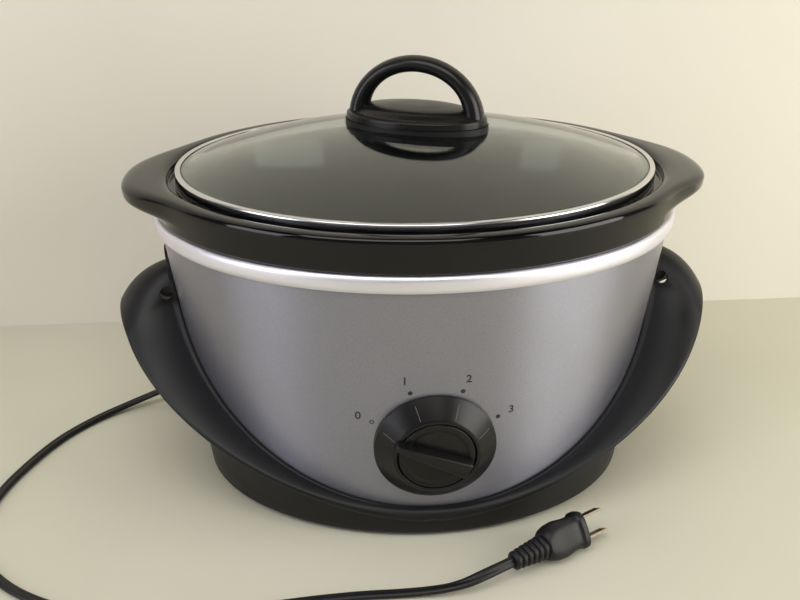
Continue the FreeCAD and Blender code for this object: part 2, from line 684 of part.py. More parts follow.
def make_crock():
    """Stoneware pot: tapered body, heavy rim with two ears, and a sunk seat for the lid."""
    body = rounded(crock_block(crock_bottom, HOUSING_TOP, 0), CROCK_FOOT_ROUND, level_edge(crock_bottom))
    rim_low = (crock_rim[0] - CROCK_RIM_FLARE, crock_rim[1] - CROCK_RIM_FLARE)
    seat = oval_solid(lid_seat_half, lid_seat, lid_seat_half, crock_top + LID_SEAT_DEPTH)
    rim = oval_solid(rim_low, HOUSING_TOP, crock_rim, crock_top).cut(seat)
    rim = rounded(rim, RIM_EDGE_ROUND, level_edge(crock_top))
    ear_low = crock_top - EAR_DROP - EAR_SHEET
    ears = Part.Face(rim_outline(ear_low)).extrude(Vector(0, 0, EAR_SHEET))
    ears = rounded(ears, EAR_ROUND, lambda edge: edge.BoundBox.ZLength < 0.01)
    inside_low = crock_bottom + CROCK_FLOOR
    inside = rounded(crock_block(inside_low, crock_top, -CROCK_WALL), CROCK_INNER_ROUND, level_edge(inside_low))
    return body.fuse(rim).fuse(ears).cut(seat).cut(inside).removeSplitter()


def lid_dome_block():
    """The lid's glass filled in down to its edge."""
    half = (glass_half_length, glass_half_width)
    return dome(*half, dome_base, DOME_RISE).fuse(oval_solid(half, glass_edge, half, dome_base))


def make_lid_glass():
    hollow = dome(glass_half_length - GLASS_SHEET, glass_half_width - GLASS_SHEET, glass_edge, DOME_RISE)
    glass = lid_dome_block().cut(hollow)
    return glass.cut(upright(LID_SCREW_RADIUS + BASE_GAP, glass_edge, plate_bottom))


def make_lid_band():
    """Pressed steel band that wraps the edge of the glass and sits in the crock."""
    inner = (lid_half[0] - BAND_WIDTH, lid_half[1] - BAND_WIDTH)
    high = lid_seat + BAND_HEIGHT
    ring = oval_solid(lid_half, lid_seat, lid_half, high).cut(oval_solid(inner, lid_seat, inner, high))
    return ring.cut(make_lid_glass())


def turned(solid):
    """Turn a piece of the handle to the angle that it is fastened at."""
    return solid.rotate(origin, up, HANDLE_TURN)


def make_handle_seal():
    half = (PLATE_HALF_LENGTH - SEAL_MARGIN, PLATE_HALF_WIDTH - SEAL_MARGIN)
    seal = oval_solid(half, dome_base, half, plate_bottom)
    return turned(seal).cut(lid_dome_block()).cut(upright(LID_SCREW_RADIUS + BASE_GAP, dome_base, plate_bottom))


def make_lid_handle():
    """Arched bar on a crowned oval plate."""
    half = (PLATE_HALF_LENGTH, PLATE_HALF_WIDTH)
    plate = oval_solid(half, plate_bottom, half, plate_top)
    crown = dome(PLATE_HALF_LENGTH - HANDLE_BAR, PLATE_HALF_WIDTH - HANDLE_BAR / 2, plate_top, PLATE_CROWN)
    foot_z = plate_top - HANDLE_FOOT_SINK
    foot = Vector(HANDLE_HALF_SPAN, 0, foot_z)
    arch = Part.Ellipse(foot, Vector(0, 0, foot_z + HANDLE_RISE), Vector(0, 0, foot_z))
    path = Part.Wire(Part.ArcOfEllipse(arch, 0, math.pi).toShape())
    across = Part.Ellipse(foot + Vector(0, HANDLE_BAR_WIDTH / 2, 0), foot + Vector(HANDLE_BAR / 2, 0, 0), foot)
    bar = path.makePipeShell([Part.Wire(across.toShape())], True, False)
    handle = turned(plate.fuse(crown).fuse(bar))
    return handle.cut(upright(LID_SCREW_RADIUS, plate_bottom, plate_bottom + LID_SCREW_GRIP)).removeSplitter()


def lid_screw_top():
    return plate_bottom + LID_SCREW_GRIP


def make_lid_screw():
    seat = dome_top - GLASS_SHEET - LID_WASHER_SHEET
    head = upright(LID_SCREW_HEAD_RADIUS, seat - LID_SCREW_HEAD, seat)
    return head.fuse(upright(LID_SCREW_RADIUS, seat, lid_screw_top()))


def make_lid_washer():
    high = dome_top - GLASS_SHEET
    low = high - LID_WASHER_SHEET
    return upright(LID_WASHER_RADIUS, low, high).cut(upright(LID_SCREW_RADIUS, low, high)).cut(make_lid_glass())


def make_dial_bezel():
    """Cone round the knob, with its back shaped to the wrap."""
    cone = Part.makeCone(BEZEL_RADIUS, BEZEL_FACE_RADIUS, BEZEL_HEIGHT)
    skirt = Part.makeCylinder(BEZEL_RADIUS, BEZEL_SKIRT, Vector(0, 0, -BEZEL_SKIRT))
    pocket = Part.makeCylinder(KNOB_RADIUS + KNOB_CLEARANCE, BEZEL_HEIGHT, Vector(0, 0, BEZEL_FLOOR))
    bush = Part.makeCylinder(bush_hole, BEZEL_HEIGHT + BEZEL_SKIRT, Vector(0, 0, -BEZEL_SKIRT))
    bezel = on_dial(cone.fuse(skirt).cut(pocket).cut(bush))
    return bezel.cut(wrap_block(wrap_bottom, HOUSING_TOP, 0))


def knob_underside():
    return BEZEL_FLOOR + SWITCH_NUT_HEIGHT + 2 * KNOB_LIFT


def make_control_knob():
    """Knob cap with its wedge-shaped grip, which points at the setting."""
    cap = Part.makeCylinder(KNOB_RADIUS, BEZEL_HEIGHT - knob_underside(), Vector(0, 0, knob_underside()))
    tip = -GRIP_POINT_REACH
    tail = GRIP_TAIL_REACH
    outline = [Vector(tip, -GRIP_POINT_WIDTH / 2, BEZEL_HEIGHT), Vector(tail, -GRIP_TAIL_WIDTH / 2, BEZEL_HEIGHT),
               Vector(tail, GRIP_TAIL_WIDTH / 2, BEZEL_HEIGHT), Vector(tip, GRIP_POINT_WIDTH / 2, BEZEL_HEIGHT)]
    base = Part.Face(Part.makePolygon(outline + outline[:1])).extrude(Vector(0, 0, GRIP_HEIGHT))
    base = base.translate(Vector(0, 0, KNOB_LIFT))
    post = Part.makeBox(2 * GRIP_TAIL_REACH - KNOB_LIFT, GRIP_POINT_WIDTH, 2 * KNOB_LIFT,
                        Vector(KNOB_LIFT - GRIP_TAIL_REACH, -GRIP_POINT_WIDTH / 2, BEZEL_HEIGHT - KNOB_LIFT))
    grip = base.fuse(post).rotate(origin, up, OFF_ANGLE - 180)
    bore = Part.makeCylinder(SHAFT_RADIUS, SHAFT_GRIP, Vector(0, 0, knob_underside()))
    return on_dial(cap.fuse(grip).cut(bore).removeSplitter())


def make_switch_shaft():
    """Shaft from the rotor inside the switch to the knob."""
    rotor_low = switch_back() + SWITCH_WALL + ROTOR_CLEARANCE
    rotor = Part.makeCylinder(ROTOR_RADIUS, ROTOR_HEIGHT, Vector(0, 0, rotor_low))
    top = knob_underside() + SHAFT_GRIP
    shaft = Part.makeCylinder(SHAFT_RADIUS, top - rotor_low, Vector(0, 0, rotor_low))
    return on_dial(rotor.fuse(shaft).removeSplitter())


def switch_front():
    return -WRAP_SHEET - SWITCH_STEP


def switch_back():
    return switch_front() - SWITCH_DEPTH


def make_switch_body():
    """Rotary switch: round case with a threaded bush through the wrap and the bezel."""
    case = Part.makeCylinder(SWITCH_RADIUS, SWITCH_DEPTH, Vector(0, 0, switch_back()))
    neck = Part.makeCylinder(BUSH_RADIUS + SWITCH_WALL, SWITCH_STEP, Vector(0, 0, switch_front()))
    bush = Part.makeCylinder(BUSH_RADIUS, BEZEL_FLOOR + SWITCH_NUT_HEIGHT - switch_front(),
                             Vector(0, 0, switch_front()))
    room = Part.makeCylinder(ROTOR_RADIUS + ROTOR_CLEARANCE, ROTOR_HEIGHT + 2 * ROTOR_CLEARANCE,
                             Vector(0, 0, switch_back() + SWITCH_WALL))
    bore = Part.makeCylinder(SHAFT_RADIUS + SHAFT_CLEARANCE, SWITCH_DEPTH + BEZEL_HEIGHT,
                             Vector(0, 0, switch_back() + SWITCH_WALL))
    return on_dial(case.fuse(neck).fuse(bush).cut(room).cut(bore).removeSplitter())


def make_switch_nut():
    nut = hexagon(SWITCH_NUT_ACROSS_FLATS, BEZEL_FLOOR, BEZEL_FLOOR + SWITCH_NUT_HEIGHT)
    return on_dial(nut.cut(Part.makeCylinder(BUSH_RADIUS, SWITCH_NUT_HEIGHT, Vector(0, 0, BEZEL_FLOOR))))


def blade_level():
    """Level of the terminal blades' middle, along the dial's axis."""
    return switch_front() - SWITCH_DEPTH / 2


def make_switch_blades():
    """Three terminal blades under the switch case."""
    case = Part.makeCylinder(SWITCH_RADIUS, SWITCH_DEPTH, Vector(0, 0, switch_back()))
    blades = []
    for column in (-1, 0, 1):
        corner = Vector(column * BLADE_PITCH - BLADE_WIDTH / 2, -SWITCH_RADIUS - BLADE_DROP,
                        blade_level() - BLADE_SHEET / 2)
        blade = Part.makeBox(BLADE_WIDTH, SWITCH_RADIUS + BLADE_DROP, BLADE_SHEET, corner)
        blades.append(on_dial(blade.cut(case)))
    return Part.makeCompound(blades)


def from_blade(column):
    """Start of a lead at the tip of a switch blade, and the end of its straight tail."""
    tip = Vector(column * BLADE_PITCH, -SWITCH_RADIUS - BLADE_DROP, blade_level())
    tail = tip - Vector(0, LEAD_TAIL, 0)
    return [dial_placement().multVec(point) for point in (tip, tail)]


def from_gland(side):
    """Start of a lead at the inner end of the strain relief, and the end of its straight tail."""
    point, outward = gland_place()
    across = outward.cross(up) * (side * GLAND_NECK_RADIUS / 2)
    start = point - outward * gland_inner_reach() + across
    return [start, start - outward * LEAD_TAIL]


def to_terminal(x, side):
    """End of a lead's straight run up to a heater terminal."""
    foot = terminal_foot(x, side)
    return [foot - Vector(0, 0, LEAD_TAIL), foot]


def to_fuse(side):
    """End of a lead's straight run along X into an end of the thermal fuse."""
    end = Vector(FUSE_X + side * FUSE_LENGTH / 2, FUSE_Y, fuse_axis_z())
    return [end + Vector(side * LEAD_TAIL, 0, 0), end]


def lead(start, between_points, end):
    return tube(start + [Vector(*point) for point in between_points] + end, LEAD_DIAMETER)[0]


def make_mains_leads():
    live = lead(from_gland(-1), LIVE_LEAD, from_blade(-1)[::-1])
    neutral = lead(from_gland(1), NEUTRAL_LEAD, to_fuse(-1))
    return Part.makeCompound([live, neutral])


def make_switch_leads():
    low = lead(from_blade(0), LOW_LEAD, to_terminal(LOW_TERMINAL_X, -1))
    high = lead(from_blade(1), HIGH_LEAD, to_terminal(HIGH_TERMINAL_X, -1))
    return Part.makeCompound([low, high])


def make_return_lead():
    return lead(to_fuse(1)[::-1], RETURN_LEAD, to_terminal(RETURN_TERMINAL_X, 1))


def gland_hole():
    """Hole for the strain relief's neck through the base wall and the wrap."""
    point, outward = gland_place()
    reach = 2 * GLAND_COLLAR_RADIUS
    return Part.makeCylinder(GLAND_NECK_RADIUS + GLAND_GAP, 2 * reach, point - outward * reach, outward)


def gland_inner_reach():
    """How far the strain relief's neck reaches in from the base wall's outer face."""
    return base_offset + WRAP_SHEET + GLAND_COLLAR


def make_cord_gland():
    """Tapered strain relief: inner head, neck through the wall, collar and sleeve."""
    point, outward = gland_place()
    seat = point + outward * GLAND_GAP
    inner = point - outward * gland_inner_reach()
    neck = Part.makeCylinder(GLAND_NECK_RADIUS, (seat - inner).Length + GLAND_COLLAR, inner, outward)
    collar = Part.makeCylinder(GLAND_COLLAR_RADIUS, GLAND_COLLAR, seat, outward)
    collar = collar.cut(wrap_block(wall_bottom, WING_TOP, base_offset))
    sleeve_start = seat + outward * GLAND_COLLAR
    sleeve = Part.makeCone(GLAND_NECK_RADIUS + GLAND_GAP, GLAND_TIP_RADIUS, GLAND_SLEEVE - GLAND_COLLAR - GLAND_GAP,
                           sleeve_start, outward)
    return neck.fuse(collar).fuse(sleeve).removeSplitter()


def cord_points():
    """The cord's route, straight out of the strain relief and straight into the plug."""
    point, outward = gland_place()
    start = point + outward * GLAND_SLEEVE
    heading = math.radians(PLUG_HEADING)
    ahead = Vector(math.cos(heading), math.sin(heading), 0)
    route = [Vector(*place) for place in CORD_ROUTE]
    return [start, start + outward * CORD_FIRST_RUN] + route + [PLUG_START - ahead * CORD_LAST_RUN, PLUG_START]


def make_power_cord():
    cord, length, radii = tube(cord_points(), CORD_DIAMETER)
    section = math.pi * CORD_DIAMETER ** 2 / 4
    print("cord length %.1f, volume share %.4f" % (length, cord.Volume / (section * length)))
    print("cord radii", " ".join("%.0f" % radius for radius in radii))
    return cord


def on_plug(solid):
    """Lay a piece made along +X where the plug lies."""
    turn = FreeCAD.Rotation(up, PLUG_HEADING).multiply(FreeCAD.Rotation(Vector(1, 0, 0), PLUG_ROLL))
    solid.Placement = FreeCAD.Placement(PLUG_START, turn)
    return solid


def plug_oval(x, half_width, half_thickness):
    """Upright oval across the plug, wide along its row of prongs."""
    centre = Vector(x, 0, 0)
    return Part.Wire(Part.Ellipse(centre + Vector(0, half_width, 0), centre + Vector(0, 0, half_thickness),
                                  centre).toShape())


def make_plug_body():
    """Moulded plug: ribbed relief, swelling body and flat face."""
    along = Vector(1, 0, 0)
    body_end = PLUG_RELIEF_LENGTH + PLUG_BODY_LENGTH
    relief = Part.makeCone(PLUG_RELIEF_TIP_RADIUS, PLUG_RELIEF_ROOT_RADIUS, PLUG_RELIEF_LENGTH, origin, along)
    pitch = PLUG_RELIEF_LENGTH / PLUG_RIBS
    ribs = []
    for k in range(PLUG_RIBS):
        radius = between(PLUG_RELIEF_TIP_RADIUS, PLUG_RELIEF_ROOT_RADIUS, k / PLUG_RIBS) + PLUG_RIB_HEIGHT
        ribs.append(Part.makeCylinder(radius, pitch / 2, Vector(k * pitch, 0, 0), along))
    shoulder = PLUG_RELIEF_LENGTH + PLUG_BODY_LENGTH / 3
    sections = [plug_oval(PLUG_RELIEF_LENGTH, PLUG_RELIEF_ROOT_RADIUS + PLUG_RIB_HEIGHT, PLUG_RELIEF_ROOT_RADIUS),
                plug_oval(shoulder, PLUG_HALF_WIDTH, PLUG_HALF_THICKNESS),
                plug_oval(body_end - PLUG_FACE, PLUG_HALF_WIDTH - PLUG_RIB_HEIGHT, PLUG_HALF_THICKNESS - PLUG_RIB_HEIGHT),
                plug_oval(body_end, PLUG_HALF_WIDTH, PLUG_HALF_THICKNESS)]
    body = Part.makeLoft(sections, True, True)
    return on_plug(body.multiFuse([relief] + ribs).removeSplitter())


def make_plug_prongs():
    """Two flat blades with a hole near each tip."""
    face = PLUG_RELIEF_LENGTH + PLUG_BODY_LENGTH
    prongs = []
    for side in (-1, 1):
        y = side * PRONG_PITCH / 2 - PRONG_SHEET / 2
        blade = Part.makeBox(PRONG_LENGTH, PRONG_SHEET, PRONG_WIDTH, Vector(face, y, -PRONG_WIDTH / 2))
        hole = Part.makeCylinder(PRONG_HOLE_RADIUS, PRONG_SHEET, Vector(face + PRONG_LENGTH - PRONG_HOLE_INSET, y, 0),
                                 Vector(0, 1, 0))
        prongs.append(on_plug(blade.cut(hole)))
    return Part.makeCompound(prongs)


PIECES = {
    "base_shell": make_base_shell,
    "feet": make_feet,
    "outer_wrap": make_outer_wrap,
    "heating_well": make_heating_well,
    "heater_band": make_heater_band,
    "heater_strap": make_heater_strap,
    "heater_terminals": make_heater_terminals,
    "heat_shield": make_heat_shield,
    "well_spacer": make_spacer,
    "centre_stud": make_centre_stud,
    "centre_washer": make_centre_washer,
    "centre_nut": make_centre_nut,
    "thermal_fuse": make_thermal_fuse,
    "fuse_clip": make_fuse_clip,
    "handle_brackets": make_handle_brackets,
    "handle_screws": make_handle_screws,
    "dial_bezel": make_dial_bezel,
    "control_knob": make_control_knob,
    "switch_shaft": make_switch_shaft,
    "switch_body": make_switch_body,
    "switch_nut": make_switch_nut,
    "switch_blades": make_switch_blades,
    "mains_leads": make_mains_leads,
    "switch_leads": make_switch_leads,
    "return_lead": make_return_lead,
    "crock": make_crock,
    "lid_glass": make_lid_glass,
    "lid_band": make_lid_band,
    "lid_handle": make_lid_handle,
    "handle_seal": make_handle_seal,
    "lid_screw": make_lid_screw,
    "lid_washer": make_lid_washer,
    "cord_gland": make_cord_gland,
    "power_cord": make_power_cord,
    "plug_body": make_plug_body,
    "plug_prongs": make_plug_prongs,
}

os.makedirs("parts", exist_ok=True)
for node, make in PIECES.items():
    shape = make()
    shape.exportStep("parts/%s.step" % node)
    print("%-18s solids %d valid %s volume %.0f" % (node, len(shape.Solids), shape.isValid(), shape.Volume))
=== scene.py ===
# %% [markdown]
# An oval slow cooker, dressed for its portrait.
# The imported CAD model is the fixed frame: it says where every part is and what moves. This file gives the
# parts their looks, and puts modelled meshes in place of the solids that show most.

# %% Load the frame
import json
import math

import bmesh
import bpy
import numpy as np
from mathutils import Matrix, Vector


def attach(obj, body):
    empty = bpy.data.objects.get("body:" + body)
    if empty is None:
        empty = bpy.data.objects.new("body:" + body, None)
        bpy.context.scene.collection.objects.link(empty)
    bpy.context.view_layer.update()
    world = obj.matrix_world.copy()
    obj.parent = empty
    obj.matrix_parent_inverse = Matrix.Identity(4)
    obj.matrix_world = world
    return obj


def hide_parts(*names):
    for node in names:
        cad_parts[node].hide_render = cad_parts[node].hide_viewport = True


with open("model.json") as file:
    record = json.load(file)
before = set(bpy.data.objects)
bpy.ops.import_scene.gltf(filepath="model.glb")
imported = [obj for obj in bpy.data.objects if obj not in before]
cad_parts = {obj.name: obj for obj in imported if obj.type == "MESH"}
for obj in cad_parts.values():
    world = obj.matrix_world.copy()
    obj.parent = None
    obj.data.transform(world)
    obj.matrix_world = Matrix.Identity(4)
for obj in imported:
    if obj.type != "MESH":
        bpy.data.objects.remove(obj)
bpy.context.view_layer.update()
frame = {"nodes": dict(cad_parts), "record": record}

MM = 0.001

# %% [markdown]
# The camera stands where the photographer stood: a little left of the cooker and well above it, with a normal
# lens. A target object and a Track To constraint could aim it, but a direction turned into a rotation is one
# line and leaves nothing in the scene to move by mistake.

# %% Camera
CAMERA_PLACE = Vector((-68.65, -670.84, 404.26)) * MM
CAMERA_LOOK = Vector((0.0795, 0.9117, -0.4030))
LENS = 49.5

scene = bpy.context.scene
camera = bpy.data.objects.new("camera", bpy.data.cameras.new("camera"))
camera.data.lens = LENS
camera.location = CAMERA_PLACE
camera.rotation_euler = CAMERA_LOOK.to_track_quat("-Z", "Y").to_euler()
scene.collection.objects.link(camera)
scene.camera = camera
scene.view_settings.view_transform = "Standard"
print("lens", LENS, "mm, camera", round(camera.location.length, 3), "m from the table's origin")

# %% [markdown]
# Every finish below is built from nodes. Two helpers keep that short: one turns a colour as a painter writes
# it, an sRGB hex value, into the linear numbers that the renderer mixes, and one adds a node, sets what is
# constant and links what isn't. Pattern sizes are written in millimetres of the real surface.

# %% Helpers for materials
# Most of a noise lies between these two values
NOISE_LOW = 0.3
NOISE_HIGH = 0.7


def linear(code):
    """Linear colour of an sRGB hex value such as 8a7f60."""
    shares = [int(code[k:k + 2], 16) / 255 for k in (0, 2, 4)]
    return tuple(v / 12.92 if v <= 0.04045 else ((v + 0.055) / 1.055) ** 2.4 for v in shares) + (1.0,)


def add_node(tree, kind, inputs=None, **settings):
    """Add a node, set its properties, and set or link its inputs."""
    node = tree.nodes.new(kind)
    for key, value in settings.items():
        setattr(node, key, value)
    for key, value in (inputs or {}).items():
        if isinstance(value, bpy.types.NodeSocket):
            tree.links.new(value, node.inputs[key])
        else:
            node.inputs[key].default_value = value
    return node


def new_material(name, **constants):
    """A material with its principled shader, whose constants are set by input name."""
    material = bpy.data.materials.new(name)
    material.use_nodes = True
    tree = material.node_tree
    shader = tree.nodes["Principled BSDF"]
    for key, value in constants.items():
        shader.inputs[key.replace("_", " ")].default_value = value
    return material, tree, shader


def noise(tree, size_mm, detail=2.0, stretch=(1, 1, 1)):
    """Noise with features of about size_mm, drawn out along the axes by stretch."""
    place = add_node(tree, "ShaderNodeTexCoord").outputs["Object"]
    place = add_node(tree, "ShaderNodeMapping", {"Vector": place, "Scale": [1 / s for s in stretch]})
    grain = add_node(tree, "ShaderNodeTexNoise", {"Vector": place.outputs[0], "Scale": 1 / (size_mm * MM),
                                                  "Detail": detail})
    return grain.outputs["Fac"]


def spread(tree, value, low, high):
    """Stretch the middle of a noise over a range."""
    limits = {"From Min": NOISE_LOW, "From Max": NOISE_HIGH, "To Min": low, "To Max": high}
    return add_node(tree, "ShaderNodeMapRange", {"Value": value, **limits}).outputs[0]


def tint(tree, value, first, second):
    """Colour that wanders between two hex values with a noise."""
    ramp = add_node(tree, "ShaderNodeValToRGB", {"Fac": value})
    ramp.color_ramp.elements[0].position = NOISE_LOW
    ramp.color_ramp.elements[0].color = linear(first)
    ramp.color_ramp.elements[1].position = NOISE_HIGH
    ramp.color_ramp.elements[1].color = linear(second)
    return ramp.outputs["Color"]


def relief(tree, shader, height, depth_mm):
    """Bump of a real depth."""
    bump = add_node(tree, "ShaderNodeBump", {"Height": height, "Distance": depth_mm * MM, "Strength": 1.0})
    tree.links.new(bump.outputs["Normal"], shader.inputs["Normal"])


print("material helpers ready")

# %% [markdown]
# Black plastics. The base and its wings are polypropylene from a spark-eroded mould, which leaves a fine even
# grain and a soft sheen. The knob, the dial's cone and the lid's handle are nylon, polished smoother. Feet
# and strain relief are moulded rubber, and the washer under the handle is silicone. They differ by how much
# the grain breaks up the light, so one recipe takes the colour, the gloss and the grain.

# %% Moulded blacks
def moulded(name, dark, light, roughness, grain_mm, depth_mm, ior=1.49):
    """Moulded polymer: nearly even colour, gloss that wanders a little, fine mould grain."""
    material, tree, shader = new_material(name, IOR=ior, Specular_IOR_Level=0.36)
    cloud = noise(tree, 28, 3)
    tree.links.new(tint(tree, cloud, dark, light), shader.inputs["Base Color"])
    tree.links.new(spread(tree, cloud, roughness - 0.04, roughness + 0.05), shader.inputs["Roughness"])
    relief(tree, shader, noise(tree, grain_mm), depth_mm)
    return material


FINISH = {
    # A grained polypropylene moulding: soft wide highlights on a warm black
    "base_plastic": moulded("grained_polypropylene", "0d0d0f", "131214", 0.44, 0.7, 0.014, 1.46),
    # A smooth nylon moulding: tighter highlights along the edges
    "control_plastic": moulded("smooth_nylon", "0e0e0e", "141313", 0.3, 0.9, 0.006, 1.47),
    # Dull black rubber, a little greyer where it has been handled
    "soft_rubber": moulded("moulded_rubber", "1a1a1a", "232322", 0.6, 0.5, 0.015, 1.52),
    "silicone": moulded("silicone_washer", "141414", "1b1b1b", 0.5, 0.6, 0.008, 1.43),
    # Brown-black switch body, as pressed phenolic is
    "switch_phenolic": moulded("pressed_phenolic", "2a201a", "35281f", 0.42, 0.6, 0.01, 1.6),
    # Pale glass-silicone sleeve on the inner leads
    "lead_silicone": moulded("silicone_sleeve", "cfc9ba", "dad4c6", 0.48, 0.5, 0.012, 1.43),
    # Plasticised vinyl on the cord and the plug: black with a waxy sheen
    "cord_vinyl": moulded("plasticised_vinyl", "0e0e0e", "151515", 0.44, 1.2, 0.01, 1.5),
}
print(len(FINISH), "moulded finishes")

# %% [markdown]
# Metals. Sheet that was drawn or rolled keeps fine scratches along the way it moved, which smear a highlight.
# Noise that is stretched along the rolling direction gives both the scratches and the small changes of gloss.
# The wrap is brushed round the cooker and then lacquered with metallic flake, so it reads as silver-grey and
# its highlights run upright. Scratches that fine would not show, so the shader's anisotropy stands for them.

# %% Metals and the painted wrap
def drawn_metal(name, dark, light, roughness, stretch, scratch_mm=0.5, depth_mm=0.003):
    """Bare or plated metal with scratches along the way it was drawn."""
    material, tree, shader = new_material(name, Metallic=1.0)
    scratch = noise(tree, scratch_mm, 3, stretch)
    tree.links.new(tint(tree, noise(tree, 22, 3, stretch), dark, light), shader.inputs["Base Color"])
    tree.links.new(spread(tree, scratch, roughness - 0.05, roughness + 0.08), shader.inputs["Roughness"])
    relief(tree, shader, scratch, depth_mm)
    return material


def metallic_paint():
    """Silver-grey satin lacquer over brushed sheet, which smears highlights into upright streaks."""
    material, tree, shader = new_material("silver_grey_lacquer", Metallic=0.85, Coat_Weight=0.15,
                                          Coat_Roughness=0.22, Anisotropic=0.8, Anisotropic_Rotation=0.25)
    round_way = add_node(tree, "ShaderNodeTangent", direction_type="RADIAL", axis="Z").outputs[0]
    tree.links.new(round_way, shader.inputs["Tangent"])
    flake = noise(tree, 0.45, 1)
    tree.links.new(tint(tree, flake, "90909b", "a0a0aa"), shader.inputs["Base Color"])
    tree.links.new(spread(tree, noise(tree, 30, 3), 0.38, 0.42), shader.inputs["Roughness"])
    relief(tree, shader, noise(tree, 1.6), 0.002)
    return material


FINISH.update({
    "wrap_paint": metallic_paint(),
    # Drawn steel of the well, rolled over the wrap; its colour is whitened and tinted lavender, a painted
    # highlight and reflection
    "well_steel": drawn_metal("drawn_steel_painted_highlight", "ebe9f5", "f3f1fb", 0.46, (40, 40, 1), 0.6, 0.0004),
    # Zinc-plated fittings inside the housing
    "plated_steel": drawn_metal("zinc_plate", "b4b6b8", "c8cacb", 0.34, (3, 3, 1)),
    # Polished rim of the lid
    "band_steel": drawn_metal("polished_steel", "d0d0d2", "dededf", 0.16, (40, 40, 1), 0.6, 0.0006),
    # Black oxide on the handle screws
    "dark_screw": drawn_metal("black_oxide", "2c2c2e", "3a3a3c", 0.4, (1, 1, 1)),
    "contact_brass": drawn_metal("contact_brass", "c9a25a", "d8b56c", 0.3, (1, 1, 4)),
    # Nickel over brass, dulled by use, so the warm metal tints it
    "plug_blade": drawn_metal("dull_nickel", "5f5748", "6f6757", 0.38, (5, 5, 1)),
})
print(len(FINISH), "finishes so far")

# %% [markdown]
# Glaze, glass and fibre. The crock's black glaze is a layer of real glass over stoneware: mirror-like, with
# slow waves that bend the reflections. The lid is tempered glass, clear with a hint of green at its thick
# edge. The heater inside is wrapped in woven glass tape, drawn here with two crossing waves.

# %% Glaze, glass and fibre
def black_glaze():
    """Glossy stoneware glaze: near-black, with slow ripples."""
    material, tree, shader = new_material("black_stoneware_glaze", IOR=1.47, Specular_IOR_Level=0.38)
    tree.links.new(tint(tree, noise(tree, 35, 2), "060607", "0b0a0b"), shader.inputs["Base Color"])
    tree.links.new(spread(tree, noise(tree, 14, 2), 0.05, 0.1), shader.inputs["Roughness"])
    relief(tree, shader, noise(tree, 16, 1), 0.05)
    return material


def tempered_glass():
    """Clear lid glass that lets light through, with the slight haze of a washed lid."""
    material, tree, shader = new_material("tempered_glass", IOR=1.5, Transmission_Weight=1.0)
    shader.inputs["Base Color"].default_value = linear("e6efec")
    haze = noise(tree, 40, 3)
    tree.links.new(spread(tree, haze, 0.0, 0.04), shader.inputs["Roughness"])
    relief(tree, shader, noise(tree, 60, 1), 0.04)
    return material


THREAD_SPACING = 1.5


def woven_tape():
    """Glass-fibre tape, whose warp and weft cross."""
    material, tree, shader = new_material("woven_glass_tape", Roughness=0.85)
    place = add_node(tree, "ShaderNodeTexCoord").outputs["Object"]
    scale = math.pi / (20 * THREAD_SPACING * MM)
    across, upward = [add_node(tree, "ShaderNodeTexWave", {"Vector": place, "Scale": scale},
                               bands_direction=axis) for axis in ("DIAGONAL", "Z")]
    weave = add_node(tree, "ShaderNodeMath", {0: across.outputs["Fac"], 1: upward.outputs["Fac"]},
                     operation="MULTIPLY").outputs[0]
    tree.links.new(tint(tree, weave, "b5ad98", "ddd6c4"), shader.inputs["Base Color"])
    relief(tree, shader, weave, 0.15)
    return material


def printed_ink():
    """Pad-printed dial marks: matt black ink, a little thin in places."""
    material, tree, shader = new_material("dial_ink", Roughness=0.55)
    tree.links.new(tint(tree, noise(tree, 0.8, 2), "18181a", "232325"), shader.inputs["Base Color"])
    return material


FINISH.update({"crock_glaze": black_glaze(), "lid_glass": tempered_glass(), "heater_fibre": woven_tape()})
INK = printed_ink()
# The raised ticks are coloured light grey as a painted highlight: the lamps' glints along the glossy cone
TICK_PAINTED_HIGHLIGHT = moulded("tick_painted_highlight", "4c4b4a", "585756", 0.5, 0.4, 0.004)
for part in frame["record"]["subparts"]:
    mesh = frame["nodes"][part["node"]].data
    mesh.materials.clear()
    mesh.materials.append(FINISH[part["material_slot"]])
print(len(FINISH), "finishes on", len(frame["nodes"]), "nodes")

# %% [markdown]
# The table and the wall behind it are one pale painted stage. Light comes from a wide soft source overhead, a
# tall one at the right that draws the bright upright streak on the wrap, and a weak fill from the left.
# The wall lets a camera behind it look through, so that the cooker can also be seen from the back.

# %% Stage and lights
WALL_Y = 218.0
WALL_TOP = 4000
FAR = 6000


def stage_plane(name, corners, first, second, see_through=False):
    """A painted plane of the stage; see_through hides it from behind."""
    mesh = bpy.data.meshes.new(name)
    mesh.from_pydata([Vector(c) * MM for c in corners], [], [(0, 1, 2, 3)])
    plane = bpy.data.objects.new(name, mesh)
    scene.collection.objects.link(plane)
    material, tree, shader = new_material(name + "_paint", Roughness=0.75)
    tree.links.new(tint(tree, noise(tree, 300, 2), first, second), shader.inputs["Base Color"])
    if see_through:
        back = add_node(tree, "ShaderNodeNewGeometry").outputs["Backfacing"]
        clear = add_node(tree, "ShaderNodeBsdfTransparent").outputs[0]
        mix = add_node(tree, "ShaderNodeMixShader", {0: back, 1: shader.outputs[0], 2: clear})
        tree.links.new(mix.outputs[0], tree.nodes["Material Output"].inputs["Surface"])
    mesh.materials.append(material)


def soft_light(name, place, target, size, power, colour):
    """A rectangular lamp, with its place, target and size in millimetres and its power in watts."""
    light = bpy.data.lights.new(name, "AREA")
    light.shape = "RECTANGLE"
    light.size, light.size_y = [side * MM for side in size]
    light.energy = power
    light.color = linear(colour)[:3]
    lamp = bpy.data.objects.new(name, light)
    lamp.location = Vector(place) * MM
    lamp.rotation_euler = (Vector(target) - Vector(place)).to_track_quat("-Z", "Y").to_euler()
    scene.collection.objects.link(lamp)


